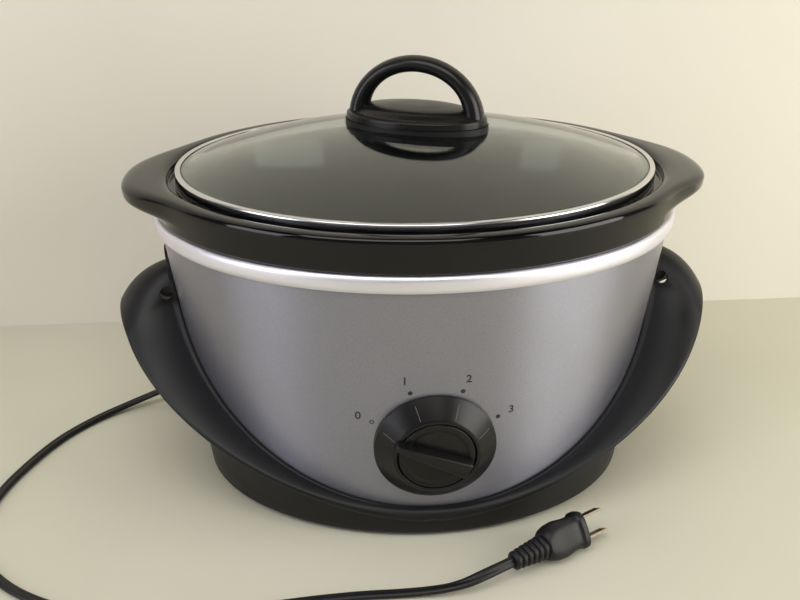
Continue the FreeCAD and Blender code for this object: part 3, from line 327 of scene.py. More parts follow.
stage_plane("floor", [(-FAR, -FAR, 0), (FAR, -FAR, 0), (FAR, FAR, 0), (-FAR, FAR, 0)], "c9c6b2", "d2cfbc")
stage_plane("wall", [(-FAR, WALL_Y, 0), (FAR, WALL_Y, 0), (FAR, WALL_Y, WALL_TOP), (-FAR, WALL_Y, WALL_TOP)],
            "d9d4c5", "ded9cb", see_through=True)
soft_light("overhead", (-250, -900, 1500), (0, 60, 120), (1500, 900), 15.5, "fffdf8")
soft_light("right_window", (1030, -620, 420), (80, 0, 120), (860, 900), 12.5, "fffcf7")
soft_light("left_fill", (-1150, -620, 520), (0, 0, 120), (600, 900), 6.5, "f4f3ff")
world = bpy.data.worlds.new("studio")
scene.world = world
world.use_nodes = True
sky = world.node_tree
height = add_node(sky, "ShaderNodeSeparateXYZ", {0: add_node(sky, "ShaderNodeTexCoord").outputs["Generated"]})
shade = add_node(sky, "ShaderNodeValToRGB", {"Fac": height.outputs["Z"]})
shade.color_ramp.elements[0].color = linear("b0b0b0")
shade.color_ramp.elements[1].color = linear("3c3c3d")
shade.color_ramp.elements[1].position = 0.8
sky.links.new(shade.outputs["Color"], sky.nodes["Background"].inputs["Color"])
sky.nodes["Background"].inputs["Strength"].default_value = 0.55
print("stage and three soft lights")

# %% [markdown]
# Most of the cooker is made of ovals stacked above each other, so most pieces are skins: rings of points
# joined by faces. A Bezier surface or a lathe with a scale could give ovals too, but rings let a wall, a rim
# and an ear share one mesh. A profile is written as its corners with a radius for each, and the corners are
# rounded here.

# %% Helpers for meshes
AROUND = 288
SHARP = 32
WELD = 1e-6
turn = np.linspace(0, 2 * math.pi, AROUND, endpoint=False)


def finish_piece(name, mesh, slot, body, nodes=(), sharp=SHARP, material=None):
    """Turn a mesh into a smooth-shaded piece that rides a body and stands for CAD nodes."""
    work = bmesh.new()
    work.from_mesh(mesh)
    bmesh.ops.remove_doubles(work, verts=work.verts, dist=WELD)
    bmesh.ops.recalc_face_normals(work, faces=work.faces)
    work.to_mesh(mesh)
    work.free()
    mesh.shade_smooth()
    mesh.set_sharp_from_angle(angle=math.radians(sharp))
    mesh.materials.clear()
    mesh.materials.append(material or FINISH[slot])
    piece = bpy.data.objects.new(name, mesh)
    scene.collection.objects.link(piece)
    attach(piece, body)
    if nodes:
        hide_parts(*nodes)
    return piece


def skin_mesh(name, rings, loop=False):
    """Mesh through rings of points in millimetres; loop joins last to first, or else both ends are capped."""
    rings = np.asarray(rings, float) * MM
    count, around = rings.shape[:2]
    index = np.arange(count * around).reshape(count, around)
    faces = []
    for row in range(count if loop else count - 1):
        low, high = index[row], index[(row + 1) % count]
        faces += np.stack([low, np.roll(low, -1), np.roll(high, -1), high], axis=1).tolist()
    if not loop:
        faces += [index[0][::-1].tolist(), index[-1].tolist()]
    mesh = bpy.data.meshes.new(name)
    mesh.from_pydata(rings.reshape(-1, 3).tolist(), [], faces)
    return mesh


def skin_piece(name, rings, slot, body, nodes, loop=False, sharp=SHARP):
    """A skin that is a whole piece."""
    return finish_piece(name, skin_mesh(name, rings, loop), slot, body, nodes, sharp)


def rounded_path(corners, steps=6):
    """Points along corners whose last value is a radius, measured on the first and third value."""
    points = [np.array(corner[:-1], float) for corner in corners]
    path = []
    for k, point in enumerate(points):
        radius = corners[k][-1]
        if radius == 0:
            path.append(point)
            continue
        ends = []
        for other in (points[k - 1], points[(k + 1) % len(points)]):
            step = other - point
            ends.append(point + step * min(radius / math.hypot(step[0], step[2]), 0.49))
        for share in np.linspace(0, 1, steps + 1):
            path.append(ends[0] * (1 - share) ** 2 + point * 2 * share * (1 - share) + ends[1] * share ** 2)
    return path


def oval(half_length, half_width, z):
    """Level ring of AROUND points."""
    return np.stack([half_length * np.cos(turn), half_width * np.sin(turn), np.full(AROUND, float(z))],
                    axis=1)


print("mesh helpers ready,", AROUND, "points a ring")

# %% [markdown]
# The mains cord is a flat twin lead that leaves the left side in a strain relief, loops round the front and
# ends in the plug. Its line is a NURBS curve with the same control points as the solid. A round bevel on that
# curve would be quickest, but this lead is two cores side by side, so the curve is read back as points and a
# figure-of-eight section is swept along them, lying flat and rolling over to meet the plug.

# %% Cord
CORD_WIDTH = 6.5
CORD_THICKNESS = 4.0
FLOOR_LIE = 2.1
ROUTE = [(-148.4, 57.6, 18.0), (-165.1, 66.6, 18.0), (-184.7, 68.3, 10.0), (-206.6, 61.2, 4.0),
         (-228.2, 45.0, FLOOR_LIE), (-248.5, 19.0, FLOOR_LIE), (-262.9, -11.8, FLOOR_LIE),
         (-275.3, -47.7, FLOOR_LIE), (-279.7, -89.5, FLOOR_LIE), (-265.4, -126.8, FLOOR_LIE),
         (-237.6, -155.6, FLOOR_LIE), (-196.3, -175.8, FLOOR_LIE), (-146.8, -182.8, FLOOR_LIE),
         (-92.0, -174.2, FLOOR_LIE), (-50.0, -170.5, FLOOR_LIE), (-18.0, -171.0, FLOOR_LIE),
         (7.7, -173.5, 6.5), (27.3, -168.2, 11.6), (41.0, -160.0, 11.6)]
PLUG_ROLL = math.radians(60)
ROLL_START = 0.9
ROLL_SHARE = 0.08


def spline_points(name, control):
    """Points on a NURBS curve, read from Blender's own evaluation of it."""
    curve = bpy.data.curves.new(name, "CURVE")
    curve.dimensions = "3D"
    curve.resolution_u = 12
    spline = curve.splines.new("NURBS")
    spline.points.add(len(control) - 1)
    for point, place in zip(spline.points, control):
        point.co = (*[v * MM for v in place], 1)
    spline.order_u = 3
    spline.use_endpoint_u = True
    carrier = bpy.data.objects.new(name, curve)
    scene.collection.objects.link(carrier)
    mesh = bpy.data.meshes.new_from_object(carrier)
    points = np.array([v.co for v in mesh.vertices])
    bpy.data.objects.remove(carrier)
    bpy.data.curves.remove(curve)
    bpy.data.meshes.remove(mesh)
    return points


def twin_section(width, thickness, count=40):
    """Figure of eight: two round cores with a web between them."""
    angle = np.linspace(0, 2 * math.pi, count, endpoint=False)
    waist = 1 - 0.3 * np.exp(-(np.cos(angle) / 0.3) ** 2)
    return np.stack([width / 2 * np.cos(angle), thickness / 2 * np.sin(angle) * waist], axis=1)


cord_path = spline_points("cord_route", ROUTE)
along = np.gradient(cord_path, axis=0)
along /= np.linalg.norm(along, axis=1)[:, None]
level = np.cross(along, (0, 0, 1))
level /= np.linalg.norm(level, axis=1)[:, None]
upright = np.cross(level, along)
section = twin_section(CORD_WIDTH, CORD_THICKNESS)
count = len(cord_path)
roll = PLUG_ROLL * np.clip((np.arange(count) / count - ROLL_START) / ROLL_SHARE, 0, 1)
first = level * np.cos(roll)[:, None] - upright * np.sin(roll)[:, None]
second = level * np.sin(roll)[:, None] + upright * np.cos(roll)[:, None]
rings = [cord_path[k] / MM + section[:, :1] * first[k] + section[:, 1:] * second[k] for k in range(count)]
cord = skin_piece("power_cord_twin", rings, "cord_vinyl", "housing", ["power_cord"])
cord_length = np.linalg.norm(np.diff(cord_path, axis=0), axis=1).sum()
print("cord measures", round(cord_length / MM, 1), "mm along its middle")

# %% [markdown]
# The strain relief and the plug are rubbery mouldings on the same line as the cord. The relief is a tapered
# sleeve with grooves that let it bend; the plug has a ribbed neck, a waisted body to hold it by and a flat
# face. Each is a row of rounded rectangles along its own axis, so one function places such a row.

# %% Strain relief and plug
def squircle(half_width, half_height, power=2.0, count=64):
    """Closed outline between an oval (power 2) and a rounded rectangle (higher powers)."""
    angle = np.linspace(0, 2 * math.pi, count, endpoint=False)
    across, upward = np.cos(angle), np.sin(angle)
    return np.stack([half_width * np.sign(across) * np.abs(across) ** (2 / power),
                     half_height * np.sign(upward) * np.abs(upward) ** (2 / power)], axis=1)


def row_along(start, ahead, sections, roll=0.0):
    """Rings along a direction; each section is (distance, half width, half height, power)."""
    ahead = Vector(ahead).normalized()
    side = Vector((0, 0, 1)).cross(ahead).normalized()
    side = Matrix.Rotation(roll, 3, ahead) @ side
    top = ahead.cross(side)
    rings = []
    for distance, half_width, half_height, power in sections:
        outline = squircle(half_width, half_height, power)
        rings.append(np.array(start) + np.array(ahead) * distance + outline[:, :1] * np.array(side)
                     + outline[:, 1:] * np.array(top))
    return rings


# One rib and the groove after it: share of the pitch, share of the rib's depth
RIB = ((0.0, 0.0), (0.12, 0.75), (0.25, 1.0), (0.5, 1.0), (0.62, 0.75), (0.75, 0.0), (0.99, 0.0))


def ribs(start, length, count, low, high, depth):
    """Sections of a ribbed round sleeve that swells from radius low to high."""
    sections = []
    pitch = length / count
    for k in range(count):
        base = low + (high - low) * k / (count - 1)
        for share, lift in RIB:
            radius = base + depth * lift
            sections.append((start + pitch * (k + share), radius, radius, 2.0))
    return sections


GLAND = (-130.75, 48.09, 18.0)
GLAND_AHEAD = (-0.8803, 0.4744, 0.0)
GLAND_TAPER = 0.07
gland_radii = [(-6.8, 4.4), (0.3, 4.4), (0.35, 6.8), (0.9, 7.5), (2.6, 7.5), (3.3, 6.6), (3.6, 5.6)]
gland_radii += [(d, lift + 4.7 - GLAND_TAPER * d) for d, lift, _, _ in ribs(4.0, 14.5, 5, 0, 0, 0.8)]
gland_radii += [(19.4, 4.0), (20.0, 3.5)]
gland_rings = row_along(GLAND, GLAND_AHEAD, [(d, r, r, 2) for d, r in gland_radii])
skin_piece("strain_relief", gland_rings, "soft_rubber", "housing", ["cord_gland"])

PLUG_START = ROUTE[-1]
PLUG_TURN = math.radians(31)
PLUG_AHEAD = (math.cos(PLUG_TURN), math.sin(PLUG_TURN), 0.0)
plug_sections = [(0.0, 4.2, 4.2, 2)] + ribs(0.4, 23.0, 6, 4.5, 6.3, 1.1)
# Neck, swelling body, waist and the flange at the face
plug_sections += [(23.6, 7.4, 7.0, 2.2), (24.3, 8.6, 7.7, 2.4), (26.0, 9.6, 7.95, 2.8),
                  (30.0, 10.9, 8.0, 3.0), (36.0, 11.3, 7.6, 3.2),
                  (43.0, 10.2, 6.6, 3.4), (47.5, 10.0, 6.5, 3.4), (49.2, 10.4, 6.9, 3.4),
                  (49.8, 11.0, 7.5, 3.2), (50.6, 11.3, 7.8, 3.2), (53.2, 11.3, 7.8, 3.2),
                  (53.8, 11.0, 7.5, 3.2), (54.0, 10.6, 7.0, 3.2)]
plug_rings = row_along(PLUG_START, PLUG_AHEAD, plug_sections, PLUG_ROLL)
plug = skin_piece("plug_moulding", plug_rings, "cord_vinyl", "housing", ["plug_body"])
print("plug", len(plug_sections), "sections, strain relief", len(gland_radii))

# %% [markdown]
# The housing's wrap is thin painted sheet, tapered from the rim down to the base. The well is drawn in one
# piece with the bright rim that rolls over the wrap's top edge. A surface with a Solidify modifier could give
# either, but the roll needs its own inner line, so both skins go out along one face and back along the other.
# The rim's lower lip tucks in towards the wrap, which gives it the soft lower edge.

# %% Wrap and well
WRAP_BASE = np.array((139.2, 114.5, 13.0))
WRAP_TOP = np.array((163.5, 132.4, 180.0))
WRAP_EDGE = 172.0
WRAP_SHEET = 0.6
CROCK_BASE = np.array((120.0, 91.0, 33.0))
CROCK_TOP = np.array((149.5, 118.5, 180.0))


def on_taper(low, high, z, offset=0.0):
    """Half-length, half-width and height on a tapered oval wall, moved out by offset."""
    half = low + (high - low) * (z - low[2]) / (high[2] - low[2])
    return (half[0] + offset, half[1] + offset, z)


def wrap_at(z, offset=0.0):
    return on_taper(WRAP_BASE, WRAP_TOP, z, offset)


def crock_at(z, offset=0.0):
    return on_taper(CROCK_BASE, CROCK_TOP, z, offset)


wrap_profile = [wrap_at(z) for z in np.linspace(WRAP_BASE[2], WRAP_EDGE, 24)]
wrap_profile += [wrap_at(z, -WRAP_SHEET) for z in np.linspace(WRAP_EDGE, WRAP_BASE[2], 24)]
skin_piece("painted_wrap", [oval(*p) for p in wrap_profile], "wrap_paint", "housing", ["outer_wrap"],
           loop=True)

well_corners = [crock_at(31.0, -30) + (0,), crock_at(31.0, 2) + (11,), crock_at(180.0, 2) + (1.0,),
                (165.4, 134.3, 180.0, 6.0), (165.4, 134.3, 172.0, 4.0), (164.0, 132.9, 168.9, 0.8),
                (162.8, 131.7, 169.2, 0.3), (164.4, 133.3, 172.0, 2.5), (164.4, 133.3, 179.0, 5.0),
                crock_at(179.0, 3) + (1.0,), crock_at(30.0, 3) + (12,), crock_at(30.0, -30) + (0,)]
well_profile = rounded_path(well_corners, 8)
skin_piece("steel_well", [oval(*p) for p in well_profile], "well_steel", "housing", ["heating_well"])
print("wrap", len(wrap_profile), "rings, well", len(well_profile), "rings")

# %% [markdown]
# The crock hangs in the well by its rim. At each end the rim grows into an ear with a hollow curve under it.
# Modelling the ears apart would leave a seam in the glaze, so each corner of the rim's profile also says how
# far it follows the ear: 0 stays on the oval, 1 goes all the way out.

# %% Crock
EAR_REACH = 17.5
EAR_HALF_WIDTH = 50.0
EAR_DROOP = 2.0
RIM_HALF_WIDTH = 137.0


def crock_ring(half_length, half_width, z, follow):
    """Oval ring whose ends go out and droop with the ears."""
    ring = oval(half_length, half_width, z)
    ear = follow * np.exp(-(RIM_HALF_WIDTH * np.sin(turn) / EAR_HALF_WIDTH) ** 4)
    ring[:, 0] += np.sign(np.cos(turn)) * EAR_REACH * ear
    ring[:, 2] -= EAR_DROOP * ear
    return ring


# Outside of the pot, the rim from below to above, the lid's seat, and the inside
crock_corners = [crock_at(33.0, -40) + (0, 0), crock_at(33.0) + (0, 12), crock_at(180.1) + (0, 1.5),
                 (164.0, 134.0, 180.1, 0, 2.0), (164.7, 134.7, 185.2, 0.02, 3.5),
                 (165.4, 135.4, 190.2, 1, 4.0), (167.0, RIM_HALF_WIDTH, 202.0, 1, 4.6),
                 (156.0, 126.5, 202.0, 0, 4.4), (156.0, 126.5, 195.0, 0, 1.2),
                 crock_at(195.0, -8) + (0, 2.5), crock_at(42.0, -8) + (0, 18), crock_at(42.0, -45) + (0, 0)]
crock_profile = rounded_path(crock_corners, 8)
skin_piece("glazed_crock", [crock_ring(*p) for p in crock_profile], "crock_glaze", "crock", ["crock"])
print("crock", len(crock_profile), "rings")

# %% [markdown]
# The lid is a shallow glass dome in a pressed steel band. The dome is part of a sphere squeezed into an oval.
# Its inside is a second face a glass thickness below, because glass only bends light as it should when the
# mesh has both faces. The band is a channel that grips the glass edge.

# %% Lid glass and band
GLASS_HALF = (149.8, 120.3)
GLASS_SHEET = 4.0
GLASS_INSIDE = tuple(half - GLASS_SHEET for half in GLASS_HALF)
GLASS_EDGE = 199.0
DOME_RISE = 25.5


def dome_profile(half_length, half_width, base_z, shares):
    """Rings of a spherical cap squeezed to an oval; a share is the distance from the middle."""
    radius = (half_length ** 2 + DOME_RISE ** 2) / (2 * DOME_RISE)
    drop = [radius - math.sqrt(radius ** 2 - (half_length * share) ** 2) for share in shares]
    return [(half_length * s, half_width * s, base_z + DOME_RISE - d) for s, d in zip(shares, drop)]


shares = np.linspace(0.02, 0.994, 40)
glass_profile = dome_profile(*GLASS_HALF, GLASS_EDGE + GLASS_SHEET, shares)
glass_profile += rounded_path([GLASS_HALF + (GLASS_EDGE + GLASS_SHEET, 0.4), GLASS_HALF + (GLASS_EDGE, 0.8),
                               GLASS_INSIDE + (GLASS_EDGE, 0.4)], 4)
glass_profile += dome_profile(*GLASS_INSIDE, GLASS_EDGE, shares[::-1])
skin_piece("glass_dome", [oval(*p) for p in glass_profile], "lid_glass", "lid", ["lid_glass"], sharp=60)

band_corners = [(151.0, 121.5, 195.0, 1.0), (151.0, 121.5, 204.6, 1.3), (147.6, 118.1, 204.6, 0.5),
                (147.4, 117.9, 203.9, 0.2), (150.0, 120.5, 203.4, 0.3), (150.0, 120.5, 198.8, 0.3),
                (145.9, 116.4, 198.8, 0.3), (147.0, 117.5, 195.0, 0.6)]
band_profile = rounded_path(band_corners, 4)
skin_piece("rim_band", [oval(*p) for p in band_profile], "band_steel", "lid", ["lid_band"], loop=True,
           sharp=40)
print("glass", len(glass_profile), "rings, band", len(band_profile))

# %% [markdown]
# The lid's handle is one moulding: an oval plate with a low mound, and an arch whose legs swell as they run
# into the plate. The plate is another stack of ovals. The arch is a sweep of squircles along half an ellipse,
# larger at the feet. A remesh could melt the two together, but the legs end inside the plate, so none is
# needed.

# %% Lid handle
HANDLE_TURN = math.radians(-22)
HANDLE_FOOT_Z = 232.0
HANDLE_HALF_SPAN = 37.5
HANDLE_RISE = 33.5
BAR_HALF = (5.0, 6.8)
LEG_SWELL = 0.34
LEG_LEAN = 0.045


def turned(points):
    """Points turned to the handle's own direction on the lid."""
    x, y, z = np.moveaxis(np.asarray(points, float), -1, 0)
    c, s = math.cos(HANDLE_TURN), math.sin(HANDLE_TURN)
    return np.stack([x * c - y * s, x * s + y * c, z], axis=-1)


plate_corners = [(20, 10, 230.0, 0), (45.0, 26.5, 230.0, 0.6), (45.0, 26.5, 234.6, 1.4),
                 (40.5, 23.6, 235.2, 2.0), (33.0, 18.5, 239.4, 9.0), (14.0, 7.0, 240.9, 6.0),
                 (2.0, 1.0, 241.0, 0)]
plate_rings = [turned(oval(*p)) for p in rounded_path(plate_corners, 8)]
bar_rings = []
for angle in np.linspace(0, math.pi, 72):
    swell = 1 + LEG_SWELL * (1 - math.sin(angle)) ** 2
    outline = squircle(BAR_HALF[0] * swell, BAR_HALF[1] * swell, 2.1, 48)
    outward = np.array((math.cos(angle) / HANDLE_HALF_SPAN, 0, math.sin(angle) / HANDLE_RISE))
    outward /= np.linalg.norm(outward)
    middle = np.array((HANDLE_HALF_SPAN * math.cos(angle) * (1 - LEG_LEAN * (swell - 1)), 0,
                       HANDLE_FOOT_Z + HANDLE_RISE * math.sin(angle)))
    bar_rings.append(turned(middle + outline[:, :1] * outward + outline[:, 1:] * np.array((0, 1, 0))))


def joined(name, meshes):
    """One mesh from several shells."""
    work = bmesh.new()
    for mesh in meshes:
        work.from_mesh(mesh)
        bpy.data.meshes.remove(mesh)
    whole = bpy.data.meshes.new(name)
    work.to_mesh(whole)
    work.free()
    return whole


handle = joined("lid_arch_handle", [skin_mesh("plate", plate_rings), skin_mesh("bar", bar_rings)])
finish_piece("lid_arch_handle", handle, "control_plastic", "lid", ["lid_handle"], sharp=45)
print("handle", len(plate_rings), "plate rings and", len(bar_rings), "along the arch")

# %% [markdown]
# The base cups the wrap, and its upper edge flares into a wing that climbs from the front to each side, where
# it is the carrying handle. Its section changes all the way round, so it is a loft: at each station the
# wall's foot, the root on the wall, a crowned top and a rolled lip. Root and lip follow the solid's curves.

# %% Base with its wings
WING_TOP = 142.0
SMILE_HALF_LENGTH = 159.0
SMILE_DROP = 120.0
LIP_HALF = (192.6, 121.8)
LIP_FRONT_LENGTH = 188.6
LIP_TOP = 116.0
LIP_DROP = 98.0
LIP_FULLNESS = 1.29
WING_SHEET = 3.2
WING_BULGE = 0.1
WING_TURN = math.radians(80)
BASE_GAP = 0.4
BASE_OFFSET = 3.2
TAB_RISE = 10.0
TAB_HALF_WIDTH = 19.0
FOOT_Z = 3.0
FOOT_ROUND = 0.6


def smile_point(angle):
    """Root of the wing on the wall, from the front at 0 towards the side."""
    x = SMILE_HALF_LENGTH * math.sin(angle)
    z = WING_TOP - SMILE_DROP * math.cos(angle)
    half_length, half_width, _ = wrap_at(z, BASE_OFFSET)
    return np.array((x, -half_width * math.sqrt(1 - (x / half_length) ** 2), z))


def lip_point(angle):
    """Outer edge of the wing that belongs to the root at the same angle."""
    x = LIP_FRONT_LENGTH * math.sin(angle) ** LIP_FULLNESS
    z = LIP_TOP - LIP_DROP * math.cos(angle) ** LIP_FULLNESS
    return np.array((x, -LIP_HALF[1] * math.sqrt(1 - (x / LIP_HALF[0]) ** 2), z))


def on_side(half_length, half_width, y, z):
    """Point on the right-hand side of an oval, at depth y."""
    return np.array((half_length * math.sqrt(1 - (y / half_width) ** 2), y, z))


def turn_points(share):
    """Root and lip where the wing rounds over the side; share 1 is the middle of the handle."""
    angle = share * math.pi / 2
    root_turn, lip_turn = smile_point(WING_TURN), lip_point(WING_TURN)
    root_z = root_turn[2] + (WING_TOP - root_turn[2]) * math.sin(angle)
    root = on_side(*wrap_at(root_z, BASE_OFFSET)[:2], root_turn[1] * math.cos(angle), root_z)
    lip_z = LIP_TOP + (lip_turn[2] - LIP_TOP) * (1 - share) ** 2
    return root, on_side(*LIP_HALF, lip_turn[1] * (1 - share), lip_z)


def wall_point(root, z, offset):
    """Point of the base wall straight below a root, at height z."""
    half_length, half_width, _ = wrap_at(root[2], BASE_OFFSET)
    plan = math.atan2(root[1] / half_width, root[0] / half_length)
    half_length, half_width, _ = wrap_at(z, offset)
    return np.array((half_length * math.cos(plan), half_width * math.sin(plan), z))


def base_section(root, lip):
    """Closed section: crowned top, rolled lip, underside of the wing, then foot and inside of the wall."""
    chord = lip - root
    normal = np.array((0, 0, 1.0)) - chord * (chord[2] / chord.dot(chord))
    normal /= np.linalg.norm(normal)
    reach = np.linalg.norm(chord)
    control = (root + lip) / 2 + normal * 2 * WING_BULGE * reach
    share = np.linspace(0, 1, 17)[:, None]
    crown = root * (1 - share) ** 2 + control * 2 * share * (1 - share) + lip * share ** 2
    end = lip - control
    end /= np.linalg.norm(end)
    half_sheet = WING_SHEET / 2
    roll = [lip + normal * half_sheet * (math.cos(a) - 1) + end * half_sheet * math.sin(a)
            for a in np.linspace(0, math.pi, 9)[1:-1]]
    under = (crown - normal * WING_SHEET)[::-1]
    foot_top = FOOT_Z + FOOT_ROUND
    sunk = max(min(under[-1][2], root[2] - 0.5), foot_top)
    foot = [wall_point(root, z, BASE_OFFSET) for z in np.linspace(sunk, foot_top, 8)]
    foot += [wall_point(root, FOOT_Z, BASE_OFFSET - FOOT_ROUND), wall_point(root, FOOT_Z, BASE_GAP)]
    top = root[2] + 0.8 + TAB_RISE * max(0.0, 1 - (root[1] / TAB_HALF_WIDTH) ** 2)
    inside = [wall_point(root, z, BASE_GAP) for z in np.linspace(foot_top, top - 0.5, 9)]
    edge = [wall_point(root, top, BASE_GAP + 0.7), wall_point(root, top - 0.3, BASE_OFFSET - 0.7)]
    return np.concatenate([crown, roll, under, foot, inside, edge])


front = [(smile_point(a), lip_point(a)) for a in WING_TURN * np.linspace(0.0, 1, 60) ** 0.9]
over_side = [turn_points(share) for share in np.linspace(0, 1, 24)[1:]]
quarter = [base_section(root, lip) for root, lip in front + over_side]
flip_y, flip_x = np.array((1, -1, 1)), np.array((-1, 1, 1))
right_half = quarter + [s * flip_y for s in quarter[-2::-1]]
wing_rings = right_half + [s * flip_x for s in right_half[-2:0:-1]]
base = skin_mesh("winged_base", wing_rings, loop=True)

SCREW_Z = 126.0
SCREW = np.array((wrap_at(SCREW_Z, 5.6)[0], 12.2, SCREW_Z))
SCREW_SIDES = [(x, y) for x in (-1, 1) for y in (-1, 1)]
BORE = ((0.0, 3.9), (45.0, 3.9))
BOSS = ((-3.0, 5.4), (-0.6, 5.4), (-0.1, 4.9), (-0.1, 2.2), (-3.0, 2.2))
ROUND_STEPS = 40


def upright_row(side, sections):
    """Rings round a handle screw's line, each (distance out from its seat, radius)."""
    angle = np.linspace(0, 2 * math.pi, ROUND_STEPS, endpoint=False)
    x, y, z = SCREW * np.array((side[0], side[1], 1))
    return [np.stack([x + r * np.cos(angle), np.full(ROUND_STEPS, y + side[1] * out), z + r * np.sin(angle)],
                     axis=1) for out, r in sections]


def cut_away(mesh, cutter):
    """The mesh less the cutter, by the exact boolean."""
    solids = [bpy.data.objects.new(m.name, m) for m in (mesh, cutter)]
    for solid in solids:
        scene.collection.objects.link(solid)
        work = bmesh.new()
        work.from_mesh(solid.data)
        bmesh.ops.recalc_face_normals(work, faces=work.faces)
        work.to_mesh(solid.data)
        work.free()
    cut = solids[0].modifiers.new("cut", "BOOLEAN")
    cut.object = solids[1]
    cut.operation = "DIFFERENCE"
    cut.solver = "EXACT"
    cut.use_self = True
    result = bpy.data.meshes.new_from_object(solids[0].evaluated_get(bpy.context.evaluated_depsgraph_get()))
    for solid in solids:
        bpy.data.objects.remove(solid)
    return result


bores = joined("bores", [skin_mesh("bore", upright_row(side, BORE)) for side in SCREW_SIDES])
base = cut_away(base, bores)
bosses = [skin_mesh("boss", upright_row(side, BOSS)) for side in SCREW_SIDES]
floor_corners = [(60, 40, 8.0, 0), wrap_at(8.0, 0.9) + (0.8,), wrap_at(11.0, 0.9) + (0.8,), (60, 40, 11.0, 0)]
floor_rings = [oval(*p) for p in rounded_path(floor_corners)]
base = joined("winged_base", [base, skin_mesh("base_floor", floor_rings)] + bosses)
finish_piece("winged_base", base, "base_plastic", "housing", ["base_shell"], sharp=50)
print("base", len(wing_rings), "stations of", len(quarter[0]), "points")

# %% [markdown]
# The dial: a low cone on the wrap, a dark groove, and a knob disc with a wedge to hold, narrow at the setting
# and wide at the tail. The cone and the disc are turned shapes about the dial's axis, and the cone's skirt
# ends on the curved wrap. The wedge is a drafted outline with rounded edges, as a mould would give it.

# %% Dial
DIAL_CENTRE = np.array((0.0, -120.29, 67.0))
DIAL_LEAN = math.atan((WRAP_TOP[1] - WRAP_BASE[1]) / (WRAP_TOP[2] - WRAP_BASE[2]))
DIAL_OUT = np.array((0, -math.cos(DIAL_LEAN), -math.sin(DIAL_LEAN)))
DIAL_UP = np.array((0, -math.sin(DIAL_LEAN), math.cos(DIAL_LEAN)))
SETTINGS = (156, 112, 68, 24)
OFF_TURN = math.radians(SETTINGS[0] - 180)
DIAL_STEPS = 144
SKIRT = ((30.0, 0.05), (35.6, 0.05), (36.0, 0.45))
WEDGE_HALF = (24.0, 5.4)
WEDGE_SHIFT = 0.1
# Each level of the wedge: how far out, and how far its outline is drawn in
WEDGE_LEVELS = ((10.5, 0.0), (11.6, 0.0), (15.4, 0.45), (16.2, 0.8), (16.6, 1.3), (16.7, 1.9))


def dial_point(across, upward, out):
    """Point in the dial's own plane, and out along its axis."""
    return DIAL_CENTRE + np.array((across, 0, 0)) + DIAL_UP * upward + DIAL_OUT * out


def wrap_rise(across, upward):
    """How far out along the dial's axis the wrap lies, seen at a place on the dial."""
    out = 0.0
    for _ in range(5):
        x, y, z = dial_point(across, upward, out)
        half_length, half_width, _ = wrap_at(z)
        out += (y + half_width * math.sqrt(1 - (x / half_length) ** 2)) / math.cos(DIAL_LEAN)
    return out


def dial_ring(radius, out, skirt=False):
    """Ring about the dial's axis; a skirt's ring is measured from the curved wrap."""
    ring = []
    for angle in np.linspace(0, 2 * math.pi, DIAL_STEPS, endpoint=False):
        across, upward = radius * math.cos(angle), radius * math.sin(angle)
        ring.append(dial_point(across, upward, wrap_rise(across, upward) + out if skirt else out))
    return ring


cone = rounded_path([(36.0, 0, 1.6, 0), (25.0, 0, 11.0, 1.2), (23.2, 0, 11.0, 0.5), (23.0, 0, 2.5, 0.5),
                     (8.0, 0, 2.5, 0)])
cone_rings = [dial_ring(radius, out, skirt=True) for radius, out in SKIRT]
cone_rings += [dial_ring(radius, out) for radius, _, out in cone]
skin_piece("dial_cone", cone_rings, "control_plastic", "housing", ["dial_bezel"], sharp=45)

disc = rounded_path([(5.0, 0, 6.1, 0), (22.4, 0, 6.1, 0.5), (22.4, 0, 11.0, 0.9), (19.0, 0, 11.0, 0.8),
                     (17.6, 0, 10.6, 0.8), (3.0, 0, 10.6, 0)])
disc_mesh = skin_mesh("disc", [dial_ring(radius, out) for radius, _, out in disc])
wedge = rounded_path([(-27.0, 0, -2.0, 1.4), (21.0, 0, -5.8, 1.6), (21.0, 0, 5.8, 1.6),
                      (-27.0, 0, 2.0, 1.4)], 5)
wedge_rings = []
for out, inset in WEDGE_LEVELS:
    ring = []
    for along, _, across in wedge:
        u = along * (1 - inset / WEDGE_HALF[0]) - WEDGE_SHIFT * inset
        v = across * (1 - inset / WEDGE_HALF[1])
        ring.append(dial_point(u * math.cos(OFF_TURN) - v * math.sin(OFF_TURN),
                               u * math.sin(OFF_TURN) + v * math.cos(OFF_TURN), out))
    wedge_rings.append(ring)
knob = joined("setting_knob", [disc_mesh, skin_mesh("wedge", wedge_rings)])
finish_piece("setting_knob", knob, "control_plastic", "knob", ["control_knob"], sharp=40)
print("dial cone", len(cone_rings), "rings, wedge", len(wedge_rings))

# %% [markdown]
# Marks. Fine raised lines cross the cone at each setting, and printed dots and numbers stand round it on the
# wrap, with an open ring at off. The numbers are Blender text turned to mesh. Every mark is drawn flat in the
# dial's own plane and then laid onto the wrap point by point, so it follows the curve as ink does. Last it is
# given a film's thickness, which keeps it a closed skin.

# %% Dial marks
MARK_RADIUS = 40.4
MARK_SIZE = 1.4
OFF_HOLE = 0.8
NUMBER_RADIUS = 49.0
NUMBER_HEIGHT = 5.0
DIGIT_SHARE = 0.7
INK_LIFT = 0.06
INK_FILM = 0.04
INK_SPREAD = 0.12
TICK_ENDS = ((26.4, 9.8), (33.6, 3.65))
TICK_SECTION = ((-0.3, -0.2, 0), (-0.2, 0.12, 0.1), (0.2, 0.12, 0.1), (0.3, -0.2, 0))


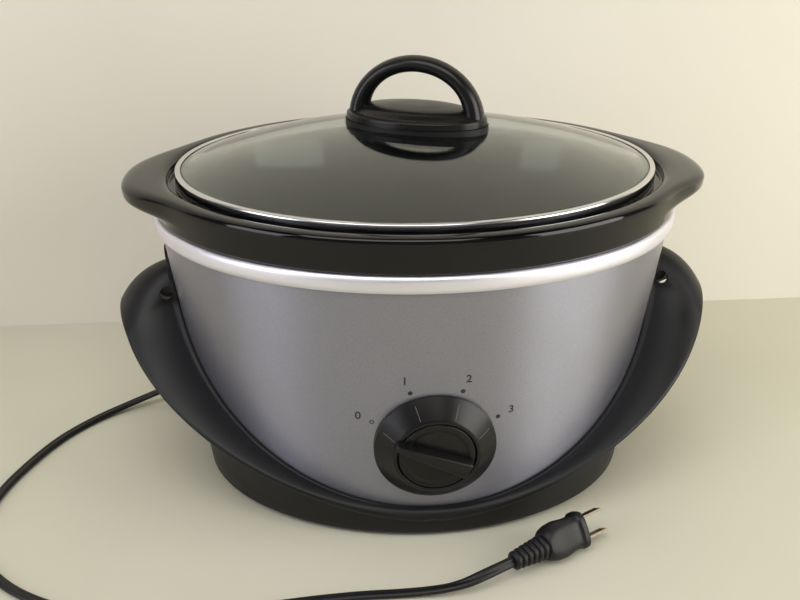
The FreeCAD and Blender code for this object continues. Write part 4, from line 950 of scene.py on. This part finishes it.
def lay_on_wrap(name, mesh):
    """Bend a flat mark onto the wrap and thicken it to a film of ink."""
    for vertex in mesh.vertices:
        across, upward = vertex.co.x / MM, vertex.co.y / MM
        vertex.co = Vector(dial_point(across, upward, wrap_rise(across, upward) + INK_LIFT)) * MM
    film = bmesh.new()
    film.from_mesh(mesh)
    bmesh.ops.remove_doubles(film, verts=film.verts, dist=WELD)
    bmesh.ops.solidify(film, geom=film.faces[:], thickness=INK_FILM * MM)
    film.to_mesh(mesh)
    film.free()
    return finish_piece(name, mesh, "wrap_paint", "housing", material=INK)


def flat_ring(name, middle, inner, outer):
    """Flat ring in the dial's plane; inner 0 fills it."""
    count = ROUND_STEPS
    angle = np.linspace(0, 2 * math.pi, count, endpoint=False)
    loops = [np.stack([middle[0] + r * np.cos(angle), middle[1] + r * np.sin(angle), 0 * angle], axis=1)
             for r in (outer, inner)]
    points = np.concatenate(loops) * MM
    faces = [(k, (k + 1) % count, count + (k + 1) % count, count + k) for k in range(count)]
    mesh = bpy.data.meshes.new(name)
    mesh.from_pydata(points.tolist(), [], faces)
    return mesh


def number_mesh(name, text, middle):
    """Flat number in the dial's plane, centred on a place."""
    words = bpy.data.curves.new(name, "FONT")
    words.body = text
    words.size = NUMBER_HEIGHT * MM / DIGIT_SHARE
    words.align_x, words.align_y = "CENTER", "CENTER"
    words.resolution_u = 6
    words.offset = INK_SPREAD * MM
    carrier = bpy.data.objects.new(name, words)
    scene.collection.objects.link(carrier)
    mesh = bpy.data.meshes.new_from_object(carrier)
    bpy.data.objects.remove(carrier)
    bpy.data.curves.remove(words)
    mesh.transform(Matrix.Translation(Vector((middle[0], middle[1], 0)) * MM))
    return mesh


for number, degrees in enumerate(SETTINGS):
    angle = math.radians(degrees)
    ray = np.array((math.cos(angle), math.sin(angle)))
    hole = OFF_HOLE if number == 0 else 0.0
    lay_on_wrap("mark_%d" % number, flat_ring("mark", ray * MARK_RADIUS, hole, MARK_SIZE))
    lay_on_wrap("number_%d" % number, number_mesh("number", str(number), ray * NUMBER_RADIUS))
    side = np.array((-ray[1], ray[0]))
    tick = [[dial_point(*(ray * (radius + dr) + side * w), out + lift) for w, lift, dr in TICK_SECTION]
            for radius, out in TICK_ENDS]
    # Each tick wears the light grey painted highlight
    finish_piece("tick_%d" % number, skin_mesh("tick", tick), "control_plastic", "housing", material=TICK_PAINTED_HIGHLIGHT)
print(len(SETTINGS), "settings marked")

# %% [markdown]
# Last, every CAD solid is shaded smooth, and edges that bend more than SHARP stay sharp.

# %% Smooth the CAD solids
for node in frame["nodes"].values():
    node.data.shade_smooth()
    node.data.set_sharp_from_angle(angle=math.radians(SHARP))
